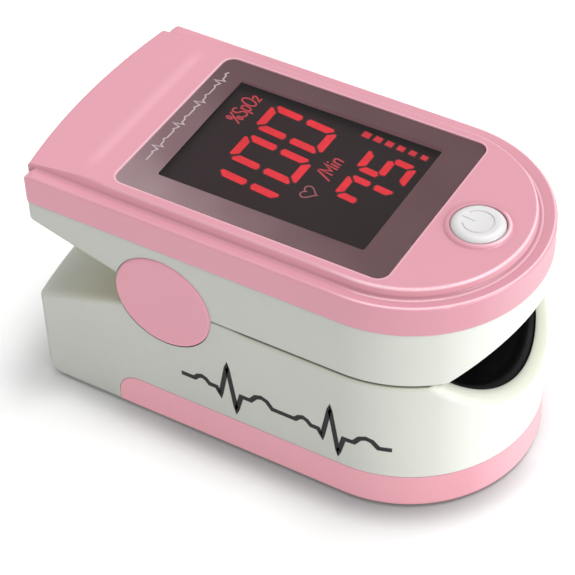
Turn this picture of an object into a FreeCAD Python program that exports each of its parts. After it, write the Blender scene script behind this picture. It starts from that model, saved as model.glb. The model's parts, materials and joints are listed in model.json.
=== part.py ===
import FreeCAD, Part
import math
import os

# Fingertip pulse oximeter: a spring-loaded clip of two hinged halves.
# +X is the finger opening (front), +Y is across the finger (left), +Z is up.
# The origin is the middle of the footprint on the table. Millimetres.

os.makedirs("parts", exist_ok=True)
V = FreeCAD.Vector

# ---------------------------------------------------------------------------
# Shared dimensions. Names in X_, Y_ and Z_ are places, R_ are radii.
# ---------------------------------------------------------------------------
# plan outline, shared by both halves
LENGTH = 57.0
WIDTH = 31.0
X_TIP = LENGTH / 2                  # front tip
X_REAR = -LENGTH / 2                # middle of the rear wall
R_FRONT = WIDTH / 2                 # round nose
X_NOSE = X_TIP - R_FRONT            # centre of the round nose
REAR_SAG = 1.7                      # how far the rear wall bows out
R_REAR = (R_FRONT ** 2 + REAR_SAG ** 2) / (2 * REAR_SAG)
X_REAR_CENTRE = X_REAR + R_REAR     # centre of the bowed rear wall
R_CORNER = 1.0                      # two rear corners
WALL = 1.5
LOWER_INSET = 0.10                  # each half is set in a little
UPPER_INSET = 0.12
R_LOWER_NOSE = R_FRONT - LOWER_INSET
R_UPPER_NOSE = R_FRONT - UPPER_INSET

# heights
Z_DOOR = 5.0                        # top of the battery door band
Z_SPLIT = 19.35                     # closed line between the two halves
SPLIT_GAP = 0.14
Z_LOWER_TOP = Z_SPLIT - SPLIT_GAP / 2
Z_UPPER_BOTTOM = Z_SPLIT + SPLIT_GAP / 2
Z_COVER = 26.9                      # line between upper shell and top cover
COVER_GAP = 0.05
Z_RIM = 30.70                       # outer rim of the top cover
Z_TOP = 31.60                       # display deck

# hinge
PIVOT_X = -9.45
PIVOT_Z = 19.2
R_CAP = 6.1
Y_CAP_INNER = 13.92
Y_CAP_OUTER = 15.52
R_PIN = 1.0
R_POCKET = 3.6                      # space for the pin and springs
POCKET_HALF = 13.9
R_EAR = 3.2
EAR_WEB = 4.6                       # height of the web that carries an ear

# torsion springs
R_COIL = 2.25
SPRING_Y = (5.9, 10.3)              # lower (inner) leg, upper (outer) leg
SPRING_WIRE = 0.72
SPRING_TURNS = 5
SPRING_SIDES = 8                    # flats round the wire
Z_LOWER_LEG = 13.2                  # ends of the two legs
Z_UPPER_LEG = 24.5

# sloping grip faces behind the hinge: two (x, z) points on each line
UPPER_SLOPE = [(-26.8, 24.5), (-15.3, 21.2)]
LOWER_SLOPE = [(-26.7, 12.9), (-15.7, 16.7)]
X_SLOPE_END = PIVOT_X + 0.95

# finger tunnel
R_TUNNEL_LOW = 12.1
Z_TUNNEL_LOW = 25.3                 # axis of the lower half's arc
R_TUNNEL_UP = 16.0
Z_TUNNEL_UP = 7.3                   # axis of the upper half's arc
X_STOP = -4.5                       # end of the tunnel
X_STOP_WALL = (-6.0, -4.0)
PAD_THICK = 1.05
PAD_BACKING = 1.25                  # shell left behind the pads
PAD_GAP = 0.05
LIP = 1.5                           # shell lip in front of the pads

# sensor window
SENSOR_X = 9.5
WINDOW_HALF_X = 2.85
WINDOW_HALF_Y = 2.35

# batteries, two AAA side by side
R_CELL = 5.25
CELL_LENGTH = 44.5                  # with the nub
CELL_BODY = 43.6
CELL_Y = 5.40
CELL_Z = 1.40 + R_CELL
X_FLAT_A = -22.45                   # flat end of the left cell
X_FLAT_B = 19.95                    # flat end of the right cell
CELL_GAP = 0.15
X_BAY_REAR = -25.0
X_BAY_FRONT = 22.45
X_CHAMBER = X_BAY_FRONT + 1.0       # front of the bay's front wall
BAY_HALF = 10.95
X_PLATE_FACE = -24.65               # front face of the rear contact
X_TAB_FACE = 22.10                  # rear face of the front contacts
SPRING_INSET = 0.31                 # spring centre line to plate or cell

# battery door
X_DOOR = -16.5
R_DOOR = 3.0
DOOR_GAP = 0.06
DOOR_FLOOR = 1.25

# edge rounds of the lower half
R_BASE = 0.9
R_SEAM = 0.45
R_HEEL = 3.5

# display: rectangles are x0, x1, y0, y1
LENS = (-17.07, 16.18, -12.14, 12.14)
LENS_THICK = 1.0
R_LENS = 1.3
Z_LENS = 31.48
OPENING = (-14.1, 12.9, -9.95, 9.95)

# button
BUTTON_X = 20.95
R_BUTTON = 2.95
R_BUTTON_TOP = 2.05                 # where the rounded shoulder meets the face
R_BUTTON_DISH = 17.0
Z_BUTTON = 32.26
Z_BUTTON_BASE = 29.20
Z_COLLAR = 31.93                    # raised ring of the cover around the button

# boards, ribbon and screws
Z_BOARD = 27.10
BOARD_THICK = 0.80
Z_BOARD_TOP = Z_BOARD + BOARD_THICK
Z_UNDER_BOARD = Z_BOARD - 0.03      # top of the parts below the board
RIBBON_X = PIVOT_X - 3.25           # upright run of the ribbon
RIBBON_Z = 10.65                    # level run of the ribbon
SCREWS_REAR = [(-20.6, 9.3), (-20.6, -9.3)]
SCREWS_FRONT = [(19.6, 8.4), (19.6, -8.4)]
BOARD_POSTS = [(-15.6, 9.9), (-15.6, -9.9), (14.2, 10.4), (14.2, -10.4)]

SIDES = (1, -1)                     # left, right
FAR = 40.0                          # beyond every part
HALF_SPAN = 20.0                    # beyond both sides
X_SWEEP_REAR = -30.0                # behind the rear wall
ARC_INSET = 1 - math.sqrt(0.5)      # middle of a quarter arc, per radius
TOUCH = 0.02                        # tolerance for finding edges


# ---------------------------------------------------------------------------
# Helpers
# ---------------------------------------------------------------------------
def box(x0, x1, y0, y1, z0, z1):
    return Part.makeBox(x1 - x0, y1 - y0, z1 - z0, V(x0, y0, z0))


def wide_box(x0, x1, z0, z1):
    """Box that reaches past both sides of the product."""
    return box(x0, x1, -HALF_SPAN, HALF_SPAN, z0, z1)


def box_pair(x0, x1, y_in, y_out, z0, z1):
    """The same box on the left and on the right."""
    return [box(x0, x1, y_in, y_out, z0, z1), box(x0, x1, -y_out, -y_in, z0, z1)]


def around(x, y, half_x, half_y):
    """Rectangle x0, x1, y0, y1 about a centre."""
    return x - half_x, x + half_x, y - half_y, y + half_y


def grown(rect, margin):
    x0, x1, y0, y1 = rect
    return x0 - margin, x1 + margin, y0 - margin, y1 + margin


def rounded_box(x0, x1, y0, y1, z0, z1, radius):
    """Box with its upright edges rounded."""
    block = box(x0, x1, y0, y1, z0, z1)
    upright = [e for e in block.Edges
               if abs(e.Vertexes[0].Point.z - e.Vertexes[1].Point.z) > 1e-6]
    return block.makeFillet(radius, upright)


def cylinder(radius, start, direction, length):
    return Part.makeCylinder(radius, length, V(*start), V(*direction))


def upright_cylinder(radius, x, y, z0, height):
    return cylinder(radius, (x, y, z0), (0, 0, 1), height)


def tunnel_cylinder(radius, z_axis, x_start=X_STOP, length=FAR):
    return cylinder(radius, (x_start, 0, z_axis), (1, 0, 0), length)


def hinge_cylinder(radius, half_length):
    return cylinder(radius, (PIVOT_X, -half_length, PIVOT_Z), (0, 1, 0), 2 * half_length)


def hinge_disc(radius, side, y_in, y_out):
    """Disc on the hinge axis, on one side only."""
    return cylinder(radius, (PIVOT_X, side * y_in, PIVOT_Z), (0, side, 0), y_out - y_in)


def hinge_discs(radius, y_in, y_out):
    return [hinge_disc(radius, side, y_in, y_out) for side in SIDES]


def fuse(first, *others):
    return first.multiFuse(list(others)).removeSplitter()


def cut(shape, *tools):
    for tool in tools:
        shape = shape.cut(tool)
    return shape


def outline_face(outline, place):
    """Face inside a closed outline of (a, b) points; place maps one to a vector.
    An entry ("arc", middle, end) is an arc from the point before it."""
    here = outline[0]
    edges = []
    for entry in outline[1:]:
        if entry[0] == "arc":
            middle, end = entry[1:]
            edges.append(Part.Arc(place(here), place(middle), place(end)).toShape())
        else:
            end = entry
            edges.append(Part.makeLine(place(here), place(end)))
        here = end
    edges.append(Part.makeLine(place(here), place(outline[0])))
    return Part.Face(Part.Wire(edges))


def face_xz(outline, y=0):
    return outline_face(outline, lambda point: V(point[0], y, point[1]))


def prism_xz(outline, y0=-HALF_SPAN, y1=HALF_SPAN):
    return face_xz(outline, y0).extrude(V(0, y1 - y0, 0))


def button_revolve(outline):
    """Turn an (r, z) outline about the button's axis."""
    turned = face_xz(outline).revolve(V(0, 0, 0), V(0, 0, 1), 360)
    turned.translate(V(BUTTON_X, 0, 0))
    return turned


def nose_sweep(outline, x_back):
    """Run an (r, z) half section straight along both sides and round the nose."""
    section = outline_face(outline, lambda point: V(X_NOSE, -point[0], point[1]))
    right = section.extrude(V(x_back - X_NOSE, 0, 0))
    left = right.mirror(V(0, 0, 0), V(0, 1, 0))
    nose = section.revolve(V(X_NOSE, 0, 0), V(0, 0, 1), 180)
    return fuse(right, left, nose)


def plan(inset, z0, z1):
    """Prism with the shared plan outline, set in by a distance."""
    half = R_FRONT - inset
    x_corner = X_REAR_CENTRE - math.sqrt((R_REAR - inset) ** 2 - half * half)
    front_left = V(X_NOSE, half, z0)
    front_right = V(X_NOSE, -half, z0)
    rear_right = V(x_corner, -half, z0)
    rear_left = V(x_corner, half, z0)
    wire = Part.Wire([
        Part.Arc(front_left, V(X_NOSE + half, 0, z0), front_right).toShape(),
        Part.makeLine(front_right, rear_right),
        Part.Arc(rear_right, V(X_REAR + inset, 0, z0), rear_left).toShape(),
        Part.makeLine(rear_left, front_left)])
    prism = Part.Face(wire).extrude(V(0, 0, z1 - z0))
    corners = []
    for edge in prism.Edges:
        if len(edge.Vertexes) != 2:
            continue
        a, b = [vertex.Point for vertex in edge.Vertexes]
        at_corner = abs(a.x - x_corner) < 1e-3 and abs(b.x - x_corner) < 1e-3
        if at_corner and abs(a.y - b.y) < 1e-6 and abs(a.z - b.z) > 1e-3:
            corners.append(edge)
    return prism.makeFillet(max(R_CORNER - inset, 0.3), corners)


def slope_z(slope, x):
    (x0, z0), (x1, z1) = slope
    return z0 + (z1 - z0) * (x - x0) / (x1 - x0)


def slope_block(slope, x_end, z_far, offset=0.0):
    """Everything from a slope line, moved by offset, up or down to z_far."""
    return prism_xz([(-FAR, slope_z(slope, -FAR) + offset),
                     (x_end, slope_z(slope, x_end) + offset),
                     (x_end, z_far), (-FAR, z_far)])


def try_fillet(shape, radius, pick):
    edges = [edge for edge in shape.Edges if pick(edge)]
    if not edges:
        return shape
    # The kernel may refuse to round all the edges together.
    try:
        rounded = shape.makeFillet(radius, edges)
        if rounded.isValid() and rounded.Volume > 0:
            return rounded
    except Exception:
        pass
    # Then each edge is tried alone, and one that cannot be rounded stays sharp.
    for edge in edges:
        try:
            rounded = shape.makeFillet(radius, [edge])
            if rounded.isValid():
                shape = rounded
        except Exception:
            pass
    return shape


def lip_edge(r_nose, r_tunnel, z_axis, z_min=0.0):
    """Selector for the curve where the tunnel meets the round nose."""
    def pick(edge):
        bounds = edge.BoundBox
        for vertex in edge.Vertexes:
            p = vertex.Point
            if abs(math.hypot(p.x - X_NOSE, p.y) - r_nose) > TOUCH:
                return False
            if abs(math.hypot(p.y, p.z - z_axis) - r_tunnel) > TOUCH:
                return False
        return bounds.ZLength > 2 and bounds.XMin > 16 and bounds.ZMin > z_min
    return pick


def lower_slope_edge(edge):
    """Selector for the outside edges of the lower grip's sloping top."""
    if len(edge.Vertexes) != 2 or edge.BoundBox.XMax > PIVOT_X + 1.2:
        return False
    for vertex in edge.Vertexes:
        p = vertex.Point
        if abs(p.z - slope_z(LOWER_SLOPE, p.x)) > TOUCH or abs(p.y) < 10:
            return False
    return True


def hinge_walls():
    """Material kept round the hinge: the barrel and a disc at each side wall."""
    return [hinge_cylinder(5.1, 14.5)] + hinge_discs(7.5, 12.3, 14.5)


def hinge_ears(y_in, y_out, z0, z1):
    """Pin ears with the webs that join them to a shell."""
    ears = []
    for side in SIDES:
        y0, y1 = sorted((side * y_in, side * y_out))
        ears.append(cylinder(R_EAR, (PIVOT_X, y0, PIVOT_Z), (0, 1, 0), y1 - y0))
        ears.append(box(PIVOT_X - R_EAR, PIVOT_X + R_EAR, y0, y1, z0, z1))
    return ears


def leg_slots(y, z0, z1):
    """Slots for one leg of each torsion spring."""
    return [box(*around(PIVOT_X - R_COIL, side * y, 0.5, 0.5), z0, z1) for side in SIDES]


def ribbon_slot(z0, z1):
    return box(*around(RIBBON_X, 0, 0.5, 2.3), z0, z1)


def window_rect(clearance=0.0):
    return grown(around(SENSOR_X, 0, WINDOW_HALF_X, WINDOW_HALF_Y), clearance)


def export(name, *shapes):
    """Write one piece; several solids become a compound."""
    solids = [solid for shape in shapes for solid in shape.Solids]
    piece = solids[0] if len(solids) == 1 else Part.makeCompound(solids)
    piece.exportStep("parts/%s.step" % name)


# ---------------------------------------------------------------------------
# Lower half
# ---------------------------------------------------------------------------
def make_lower_form():
    """Outside form of shell and door: straight walls, rounded bottom edges."""
    half = R_LOWER_NOSE
    inset = R_BASE * ARC_INSET
    form = nose_sweep([
        (0, 0), (half - R_BASE, 0),
        ("arc", (half - inset, inset), (half, R_BASE)),
        (half, Z_LOWER_TOP), (0, Z_LOWER_TOP)], X_SWEEP_REAR)
    form = form.common(plan(LOWER_INSET, -1, 25))

    # rear bottom edge: a round that follows the bowed rear wall
    x_wall = X_REAR_CENTRE - (R_REAR - LOWER_INSET)
    inset = R_HEEL * ARC_INSET
    heel = face_xz([
        (x_wall - 1, -1), (x_wall + R_HEEL, -1), (x_wall + R_HEEL, 0),
        ("arc", (x_wall + inset, inset), (x_wall, R_HEEL)),
        (x_wall - 1, R_HEEL)])
    centre = V(X_REAR_CENTRE, 0, 0)
    heel.rotate(centre, V(0, 0, 1), -20)
    return form.cut(heel.revolve(centre, V(0, 0, 1), 40))


def door_side_block(gap):
    """Door outline seen from the side, with a round upper rear corner."""
    x0 = X_DOOR - gap
    z1 = Z_DOOR + gap
    inset = R_DOOR * ARC_INSET
    return prism_xz([
        (x0, -2), (x0, z1 - R_DOOR),
        ("arc", (x0 + inset, z1 - inset), (x0 + R_DOOR, z1)),
        (FAR, z1), (FAR, -2)])


def lower_cavity():
    """Hollow under the tunnel, behind the hinge barrel and above the door."""
    cavity = plan(WALL + LOWER_INSET, Z_DOOR + 0.1, 18.2)
    cavity = cavity.common(wide_box(X_BAY_REAR, FAR, 0, FAR))
    cavity = cut(
        cavity,
        tunnel_cylinder(R_TUNNEL_LOW + PAD_THICK + PAD_GAP + PAD_BACKING,
                        Z_TUNNEL_LOW, X_STOP_WALL[0], 50),
        slope_block(LOWER_SLOPE, -5.0, FAR, -1.6),
        *hinge_walls(),
        wide_box(X_BAY_FRONT, X_CHAMBER, 0, FAR),
        wide_box(*X_STOP_WALL, 12.3, FAR))
    # cradle ribs beside the cells
    for x in (-19.0, -4.0, 12.0):
        cavity = cut(cavity, *box_pair(x, x + 1.0, BAY_HALF, 14.5, 0, 11.0))
    return cavity


def battery_bay():
    """Room for the cells, open at the bottom over the door."""
    bay = box(X_DOOR - DOOR_GAP, X_BAY_FRONT, -BAY_HALF, BAY_HALF, -1, CELL_Z)
    bay = bay.fuse(box(X_BAY_REAR, X_BAY_FRONT, -BAY_HALF, BAY_HALF,
                       CELL_Z - R_CELL - CELL_GAP, CELL_Z))
    for side in SIDES:
        bay = bay.fuse(cylinder(R_CELL + CELL_GAP, (X_BAY_REAR, side * CELL_Y, CELL_Z),
                                (1, 0, 0), X_BAY_FRONT - X_BAY_REAR))
    return bay


def lower_shell(form):
    shell = form.cut(slope_block(LOWER_SLOPE, X_SLOPE_END, FAR))
    shell = shell.cut(tunnel_cylinder(R_TUNNEL_LOW, Z_TUNNEL_LOW))
    shell = try_fillet(shell, 1.25, lip_edge(R_LOWER_NOSE, R_TUNNEL_LOW, Z_TUNNEL_LOW,
                                             Z_TUNNEL_LOW - R_TUNNEL_LOW - 0.3))
    shell = try_fillet(shell, 0.8, lower_slope_edge)

    # round along the upper outside edge
    half = R_LOWER_NOSE
    inset = R_SEAM * ARC_INSET
    shell = shell.cut(nose_sweep([
        (half + 1, Z_LOWER_TOP - R_SEAM), (half, Z_LOWER_TOP - R_SEAM),
        ("arc", (half - inset, Z_LOWER_TOP - inset), (half - R_SEAM, Z_LOWER_TOP)),
        (half - R_SEAM, Z_LOWER_TOP + 1), (half + 1, Z_LOWER_TOP + 1)], PIVOT_X))

    shell = cut(shell, lower_cavity(), battery_bay())
    # chamber between the bay's front wall and the nose
    chamber = plan(WALL + LOWER_INSET + 1.2, -1, Z_DOOR + 0.2)
    shell = shell.cut(chamber.common(wide_box(X_CHAMBER, FAR, -2, FAR)))

    # room for the door's band and floor, and grooves for its rails
    band = door_side_block(DOOR_GAP).cut(plan(WALL + LOWER_INSET + 0.02, -3, 30))
    floor = wide_box(X_DOOR - DOOR_GAP, 60, -2, DOOR_FLOOR + 0.08)
    shell = cut(shell, band, floor, *box_pair(-15.4, 20.0, 13.10, 14.2, 2.55, 3.65))

    # window hole, the well below it, and the recess for the finger pad
    shell = shell.cut(box(*window_rect(0.10), 11.9, 14.0))
    shell = shell.cut(box(*around(SENSOR_X, 0, 1.5, 1.5), 9.5, 14.0))
    pad_recess = tunnel_cylinder(R_TUNNEL_LOW + PAD_THICK + PAD_GAP, Z_TUNNEL_LOW)
    shell = shell.cut(pad_recess.common(plan(LIP, 0, 25)))

    # hinge pocket, cap recesses, ears, pin hole, spring and ribbon slots
    shell = shell.cut(hinge_cylinder(R_POCKET, POCKET_HALF))
    shell = cut(shell, *hinge_discs(R_CAP + 0.05, 13.88, 17))
    shell = fuse(shell, *hinge_ears(12.40, 13.84, PIVOT_Z - EAR_WEB, PIVOT_Z))
    shell = shell.cut(hinge_cylinder(R_PIN + 0.02, 16))
    return cut(shell, *leg_slots(SPRING_Y[0], 12.6, 19.5), ribbon_slot(9.8, 19.5))


def battery_door(form):
    """Door that slides off towards the front."""
    door = form.common(door_side_block(0.0))
    inside = plan(WALL, DOOR_FLOOR, 30).common(wide_box(X_DOOR - 5, 60, -2, FAR))
    door = door.cut(inside)
    door = door.cut(wide_box(-60, X_DOOR, -2, FAR))
    # rails that ride in the grooves of the shell
    door = fuse(door, *box_pair(-14.9, 9.5, 13.25, 14.2, 2.70, 3.50))
    # grip grooves on the underside
    for i in range(5):
        door = door.cut(cylinder(0.45, (15.0 + i * 1.6, -6.5, -0.15), (0, 1, 0), 13.0))
    return door


# ---------------------------------------------------------------------------
# Cells and their contacts
# ---------------------------------------------------------------------------
def cell(x_flat, y, direction):
    """AAA cell: x_flat is the flat end, direction points to the nub."""
    axis = (direction, 0, 0)
    body = cylinder(R_CELL, (x_flat, y, CELL_Z), axis, CELL_BODY)
    body = try_fillet(body, 0.4, lambda edge: True)
    nub = cylinder(1.9, (x_flat + direction * CELL_BODY, y, CELL_Z), axis,
                   CELL_LENGTH - CELL_BODY)
    foot = cylinder(2.6, (x_flat, y, CELL_Z), axis, 1.0)
    return fuse(body, nub, foot)


def battery_contacts():
    """Sheet-metal bridge at the rear and two tabs at the front."""
    thick = 0.30
    bridge = box(X_PLATE_FACE - thick, X_PLATE_FACE, -9.6, 9.6, 2.6, 10.6)
    return [bridge] + box_pair(X_TAB_FACE, X_TAB_FACE + thick, 1.2, 9.2, 2.6, 10.4)


def contact_spring(x_plate, x_cell, y):
    """Cone spring, wide at the plate and narrow at the cell."""
    r_plate, r_cell = 3.6, 2.3
    wire = 0.5
    turns = 2.5
    steps = int(turns * 14)
    points = []
    for i in range(steps + 1):
        t = i / steps
        angle = 2 * math.pi * turns * t
        radius = r_plate + (r_cell - r_plate) * t
        points.append(V(x_plate + (x_cell - x_plate) * t,
                        y + radius * math.cos(angle), CELL_Z + radius * math.sin(angle)))
    curve = Part.BSplineCurve()
    curve.interpolate(points)
    path = Part.Wire([curve.toShape()])
    tangent = curve.tangent(curve.FirstParameter)[0]
    profile = Part.Wire([Part.Circle(points[0], tangent, wire / 2).toShape()])
    return path.makePipeShell([profile], True, True)


# ---------------------------------------------------------------------------
# Finger pads and sensor windows
# ---------------------------------------------------------------------------
def finger_pad(r_inner, r_outer, z_axis, outline, window_z):
    pad = tunnel_cylinder(r_outer, z_axis, X_STOP + 0.1)
    pad = pad.cut(tunnel_cylinder(r_inner, z_axis, X_STOP - 1, 50))
    pad = pad.common(outline)
    return pad.cut(box(*window_rect(0.05), *window_z))


def sensor_window(r_tunnel, z_axis, z0, z1):
    window = rounded_box(*window_rect(), z0, z1, 0.5)
    return window.cut(tunnel_cylinder(r_tunnel + 0.05, z_axis))


# ---------------------------------------------------------------------------
# Upper shell
# ---------------------------------------------------------------------------
def upper_cavity():
    cavity = plan(WALL + UPPER_INSET, 19.0, FAR)
    keep = [
        tunnel_cylinder(R_TUNNEL_UP + PAD_THICK + PAD_BACKING, Z_TUNNEL_UP,
                        X_STOP_WALL[0], 50),
        slope_block(UPPER_SLOPE, -5.0, 0, 1.55),
        *hinge_walls(),
        wide_box(*X_STOP_WALL, 0, 25.0),
        wide_box(X_STOP_WALL[0], FAR, 0, 20.9)]
    # board posts and screw pillars
    z0 = 10
    for x, y in BOARD_POSTS:
        keep.append(upright_cylinder(1.1, x, y, z0, Z_UNDER_BOARD - z0))
    for x, y in SCREWS_REAR + SCREWS_FRONT:
        keep.append(upright_cylinder(2.3, x, y, z0, 24.6 - z0))
    return cut(cavity, *keep)


def upper_shell():
    shell = plan(UPPER_INSET, Z_UPPER_BOTTOM, Z_COVER)
    shell = shell.cut(slope_block(UPPER_SLOPE, X_SLOPE_END, 5))
    shell = shell.cut(tunnel_cylinder(R_TUNNEL_UP, Z_TUNNEL_UP))
    shell = try_fillet(shell, 0.45, lip_edge(R_UPPER_NOSE, R_TUNNEL_UP, Z_TUNNEL_UP))
    shell = shell.cut(upper_cavity())

    # locating tongue for the cover
    tongue_inset = WALL + 0.30
    tongue = plan(tongue_inset, Z_COVER - 1.2, Z_COVER + 0.9)
    tongue = tongue.cut(plan(tongue_inset + 0.75, Z_COVER - 2, Z_COVER + 2))
    shell = fuse(shell, tongue)

    # screw holes and head recesses, both cut from below
    z0 = 15
    recesses = [(x, y, slope_z(UPPER_SLOPE, x) + 0.95) for x, y in SCREWS_REAR]
    recesses += [(x, y, 23.86) for x, y in SCREWS_FRONT]
    for x, y, z_recess in recesses:
        shell = shell.cut(upright_cylinder(0.95, x, y, z0, 12))
        shell = shell.cut(upright_cylinder(1.75, x, y, z0, z_recess - z0))

    # recess for the finger pad, and the window hole
    pad_recess = tunnel_cylinder(R_TUNNEL_UP + PAD_THICK, Z_TUNNEL_UP)
    shell = shell.cut(pad_recess.common(plan(LIP + UPPER_INSET, 0, 30)))
    shell = shell.cut(box(*window_rect(0.05), 20, 30))

    # hinge pocket, cap recesses, ears, pin hole, spring and ribbon slots
    shell = shell.cut(hinge_cylinder(R_POCKET, POCKET_HALF))
    shell = cut(shell, *hinge_discs(R_CAP + 0.12, 13.86, 17))
    shell = fuse(shell, *hinge_ears(10.85, 12.30, PIVOT_Z, PIVOT_Z + EAR_WEB))
    shell = shell.cut(hinge_cylinder(R_PIN + 0.06, 16))
    return cut(shell, *leg_slots(SPRING_Y[1], 19.0, 24.9), ribbon_slot(19.0, 26.5))


# ---------------------------------------------------------------------------
# Hinge pin, caps, springs and ribbon cable
# ---------------------------------------------------------------------------
def hinge_pin():
    return try_fillet(hinge_cylinder(R_PIN, 14.7), 0.2, lambda edge: True)


def hinge_cap(side):
    """Round cap over one end of the pin, with a blind bore for it."""
    def outer_rim(edge):
        at_face = abs(abs(edge.CenterOfMass.y) - Y_CAP_OUTER) < 0.01
        return at_face and edge.BoundBox.XLength > 10

    cap = hinge_disc(R_CAP, side, Y_CAP_INNER, Y_CAP_OUTER)
    cap = try_fillet(cap, 0.35, outer_rim)
    return cap.cut(hinge_disc(R_PIN + 0.02, side, 13.0, 14.8))


def torsion_spring(side):
    """Flat-sided wire: a helix about the hinge axis with an upright leg at each end."""
    y0, y1 = SPRING_Y
    pitch = (y1 - y0) / SPRING_TURNS
    # built about +Z, with the wire section square to the helix
    tangent = V(0, 1, pitch / (2 * math.pi * R_COIL)).normalize()
    radial = V(1, 0, 0)
    across = tangent.cross(radial)
    ring = []
    for i in range(SPRING_SIDES):
        angle = 2 * math.pi * (i + 0.5) / SPRING_SIDES
        ring.append(V(R_COIL, 0, 0)
                    + radial * (SPRING_WIRE / 2 * math.cos(angle))
                    + across * (SPRING_WIRE / 2 * math.sin(angle)))
    profile = Part.makePolygon(ring + [ring[0]])
    helix = Part.makeHelix(pitch, y1 - y0, R_COIL)
    spring = Part.Wire(helix.Edges).makePipeShell([profile], True, True)
    start = Part.Face(profile)
    finish = start.copy()
    finish.translate(V(0, 0, y1 - y0))
    spring = spring.fuse([start.extrude(V(0, -(PIVOT_Z - Z_LOWER_LEG), 0)),
                          finish.extrude(V(0, Z_UPPER_LEG - PIVOT_Z, 0))])
    # helix axis to +Y, first point at the rear of the coil
    spring.Placement = FreeCAD.Placement(FreeCAD.Matrix(
        -1, 0, 0, PIVOT_X,
        0, 0, 1, y0,
        0, 1, 0, PIVOT_Z,
        0, 0, 0, 1))
    return spring if side > 0 else spring.mirror(V(0, 0, 0), V(0, 1, 0))


def ribbon_cable():
    """Flat strip from the detector board, round a bend and up to the main board."""
    half_width = 1.4
    thick = 0.16
    bend = 3.0
    x_bend = RIBBON_X + bend
    z_bend = RIBBON_Z + bend
    path = [(x, RIBBON_Z) for x in (3.5, 0.0, -4.0, -8.0, x_bend)]
    for i in range(1, 7):
        angle = math.radians(270 - 15 * i)
        path.append((x_bend + bend * math.cos(angle), z_bend + bend * math.sin(angle)))
    path += [(RIBBON_X, z) for z in (16.0, 19.2, 22.5, 25.75)]

    one_face, other_face = [], []
    for i, (x, z) in enumerate(path):
        before = path[max(i - 1, 0)]
        after = path[min(i + 1, len(path) - 1)]
        dx, dz = after[0] - before[0], after[1] - before[1]
        run = math.hypot(dx, dz)
        shift_x = dz / run * thick / 2
        shift_z = dx / run * thick / 2
        one_face.append((x - shift_x, z + shift_z))
        other_face.append((x + shift_x, z - shift_z))
    return prism_xz(one_face + other_face[::-1], -half_width, half_width)


# ---------------------------------------------------------------------------
# Top cover
# ---------------------------------------------------------------------------
def deck_fall():
    """Tool that lets the deck fall away to the rear after a soft crease."""
    x_crease = -20.4
    drop = 0.95
    x_far = -32
    z_far = 36
    angle = math.atan2(drop, x_crease - X_REAR)
    tangent = 1.3                   # crease point to each end of the arc
    radius = tangent / math.tan(angle / 2)
    x_start = x_crease + tangent
    middle = (x_start - radius * math.sin(angle / 2),
              Z_TOP - radius + radius * math.cos(angle / 2))
    end = (x_crease - tangent * math.cos(angle), Z_TOP - tangent * math.sin(angle))
    return prism_xz([
        (x_start, Z_TOP), ("arc", middle, end),
        (x_far, Z_TOP - (x_crease - x_far) * math.tan(angle)),
        (x_far, z_far), (x_start, z_far)])


def rim_end(side):
    """Tool that turns the rear end of the rim down in a round."""
    radius = 2.2
    x, z = -25.2, Z_RIM - radius
    x_far, z_far = -32, 36
    reach = radius * math.sqrt(0.5)
    return prism_xz([
        (x, z + radius), ("arc", (x - reach, z + reach), (x - radius, z)),
        (x_far, z), (x_far, z_far), (x, z_far)], side * 13.66, side * 18.66)


def rear_top_edge(edge):
    bounds = edge.BoundBox
    return bounds.XMax < -26.5 and bounds.ZMin > 30.4 and bounds.YLength > 15


def top_cover():
    # half section (r, z): side wall, rounded rim, shallow groove, step up to the deck
    z_bottom = Z_COVER + COVER_GAP
    r_rim = 0.35
    inset = r_rim * ARC_INSET
    cover = nose_sweep([
        (0, z_bottom), (R_FRONT, z_bottom), (R_FRONT, Z_RIM - r_rim),
        ("arc", (R_FRONT - inset, Z_RIM - inset), (R_FRONT - r_rim, Z_RIM)),
        (14.00, 30.42),
        ("arc", (13.76, 30.47), (13.60, 30.66)),
        (13.44, 31.30),
        ("arc", (13.34, 31.51), (13.12, Z_TOP)),
        (0, Z_TOP)], X_SWEEP_REAR)
    cover = cover.common(plan(0.0, 20, FAR))
    cover = cut(cover, deck_fall(), *[rim_end(side) for side in SIDES])
    cover = try_fillet(cover, 0.4, rear_top_edge)

    # hollow, then screw bosses
    half = R_FRONT - WALL
    hollow = nose_sweep([(0, 20), (half, 20), (half, 28.9), (12.4, 30.0), (0, 30.0)],
                        X_SWEEP_REAR)
    cover = cover.cut(hollow.common(plan(WALL, 15, FAR)))
    bosses = [upright_cylinder(2.0, x, y, 25.0, 6) for x, y in SCREWS_REAR]
    bosses += [upright_cylinder(1.9, x, y, 24.8, 6) for x, y in SCREWS_FRONT]
    cover = fuse(cover, *[boss.common(plan(WALL - 0.1, 20, 30.2)) for boss in bosses])
    for x, y in SCREWS_REAR + SCREWS_FRONT:
        cover = cover.cut(upright_cylinder(0.72, x, y, 24, 5.2))

    # lens recess and display opening
    cover = cover.cut(rounded_box(*grown(LENS, 0.1), Z_LENS - LENS_THICK - 0.02, FAR,
                                  R_LENS + 0.1))
    cover = cover.cut(rounded_box(*OPENING, 25, FAR, 0.8))

    # button hole with a softly raised collar
    r_hole = R_BUTTON + 0.10
    z_base = 30.8
    collar = button_revolve([
        (r_hole - 0.5, z_base), (r_hole - 0.5, Z_COLLAR - 0.12), (r_hole, Z_COLLAR - 0.12),
        ("arc", (r_hole + 0.06, Z_COLLAR - 0.03), (r_hole + 0.18, Z_COLLAR)),
        ("arc", (r_hole + 0.44, Z_COLLAR - 0.09), (r_hole + 0.66, Z_TOP - 0.02)),
        (r_hole + 0.66, z_base)])
    cover = fuse(cover, collar)
    return cover.cut(upright_cylinder(r_hole, BUTTON_X, 0, 25, 20))


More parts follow.
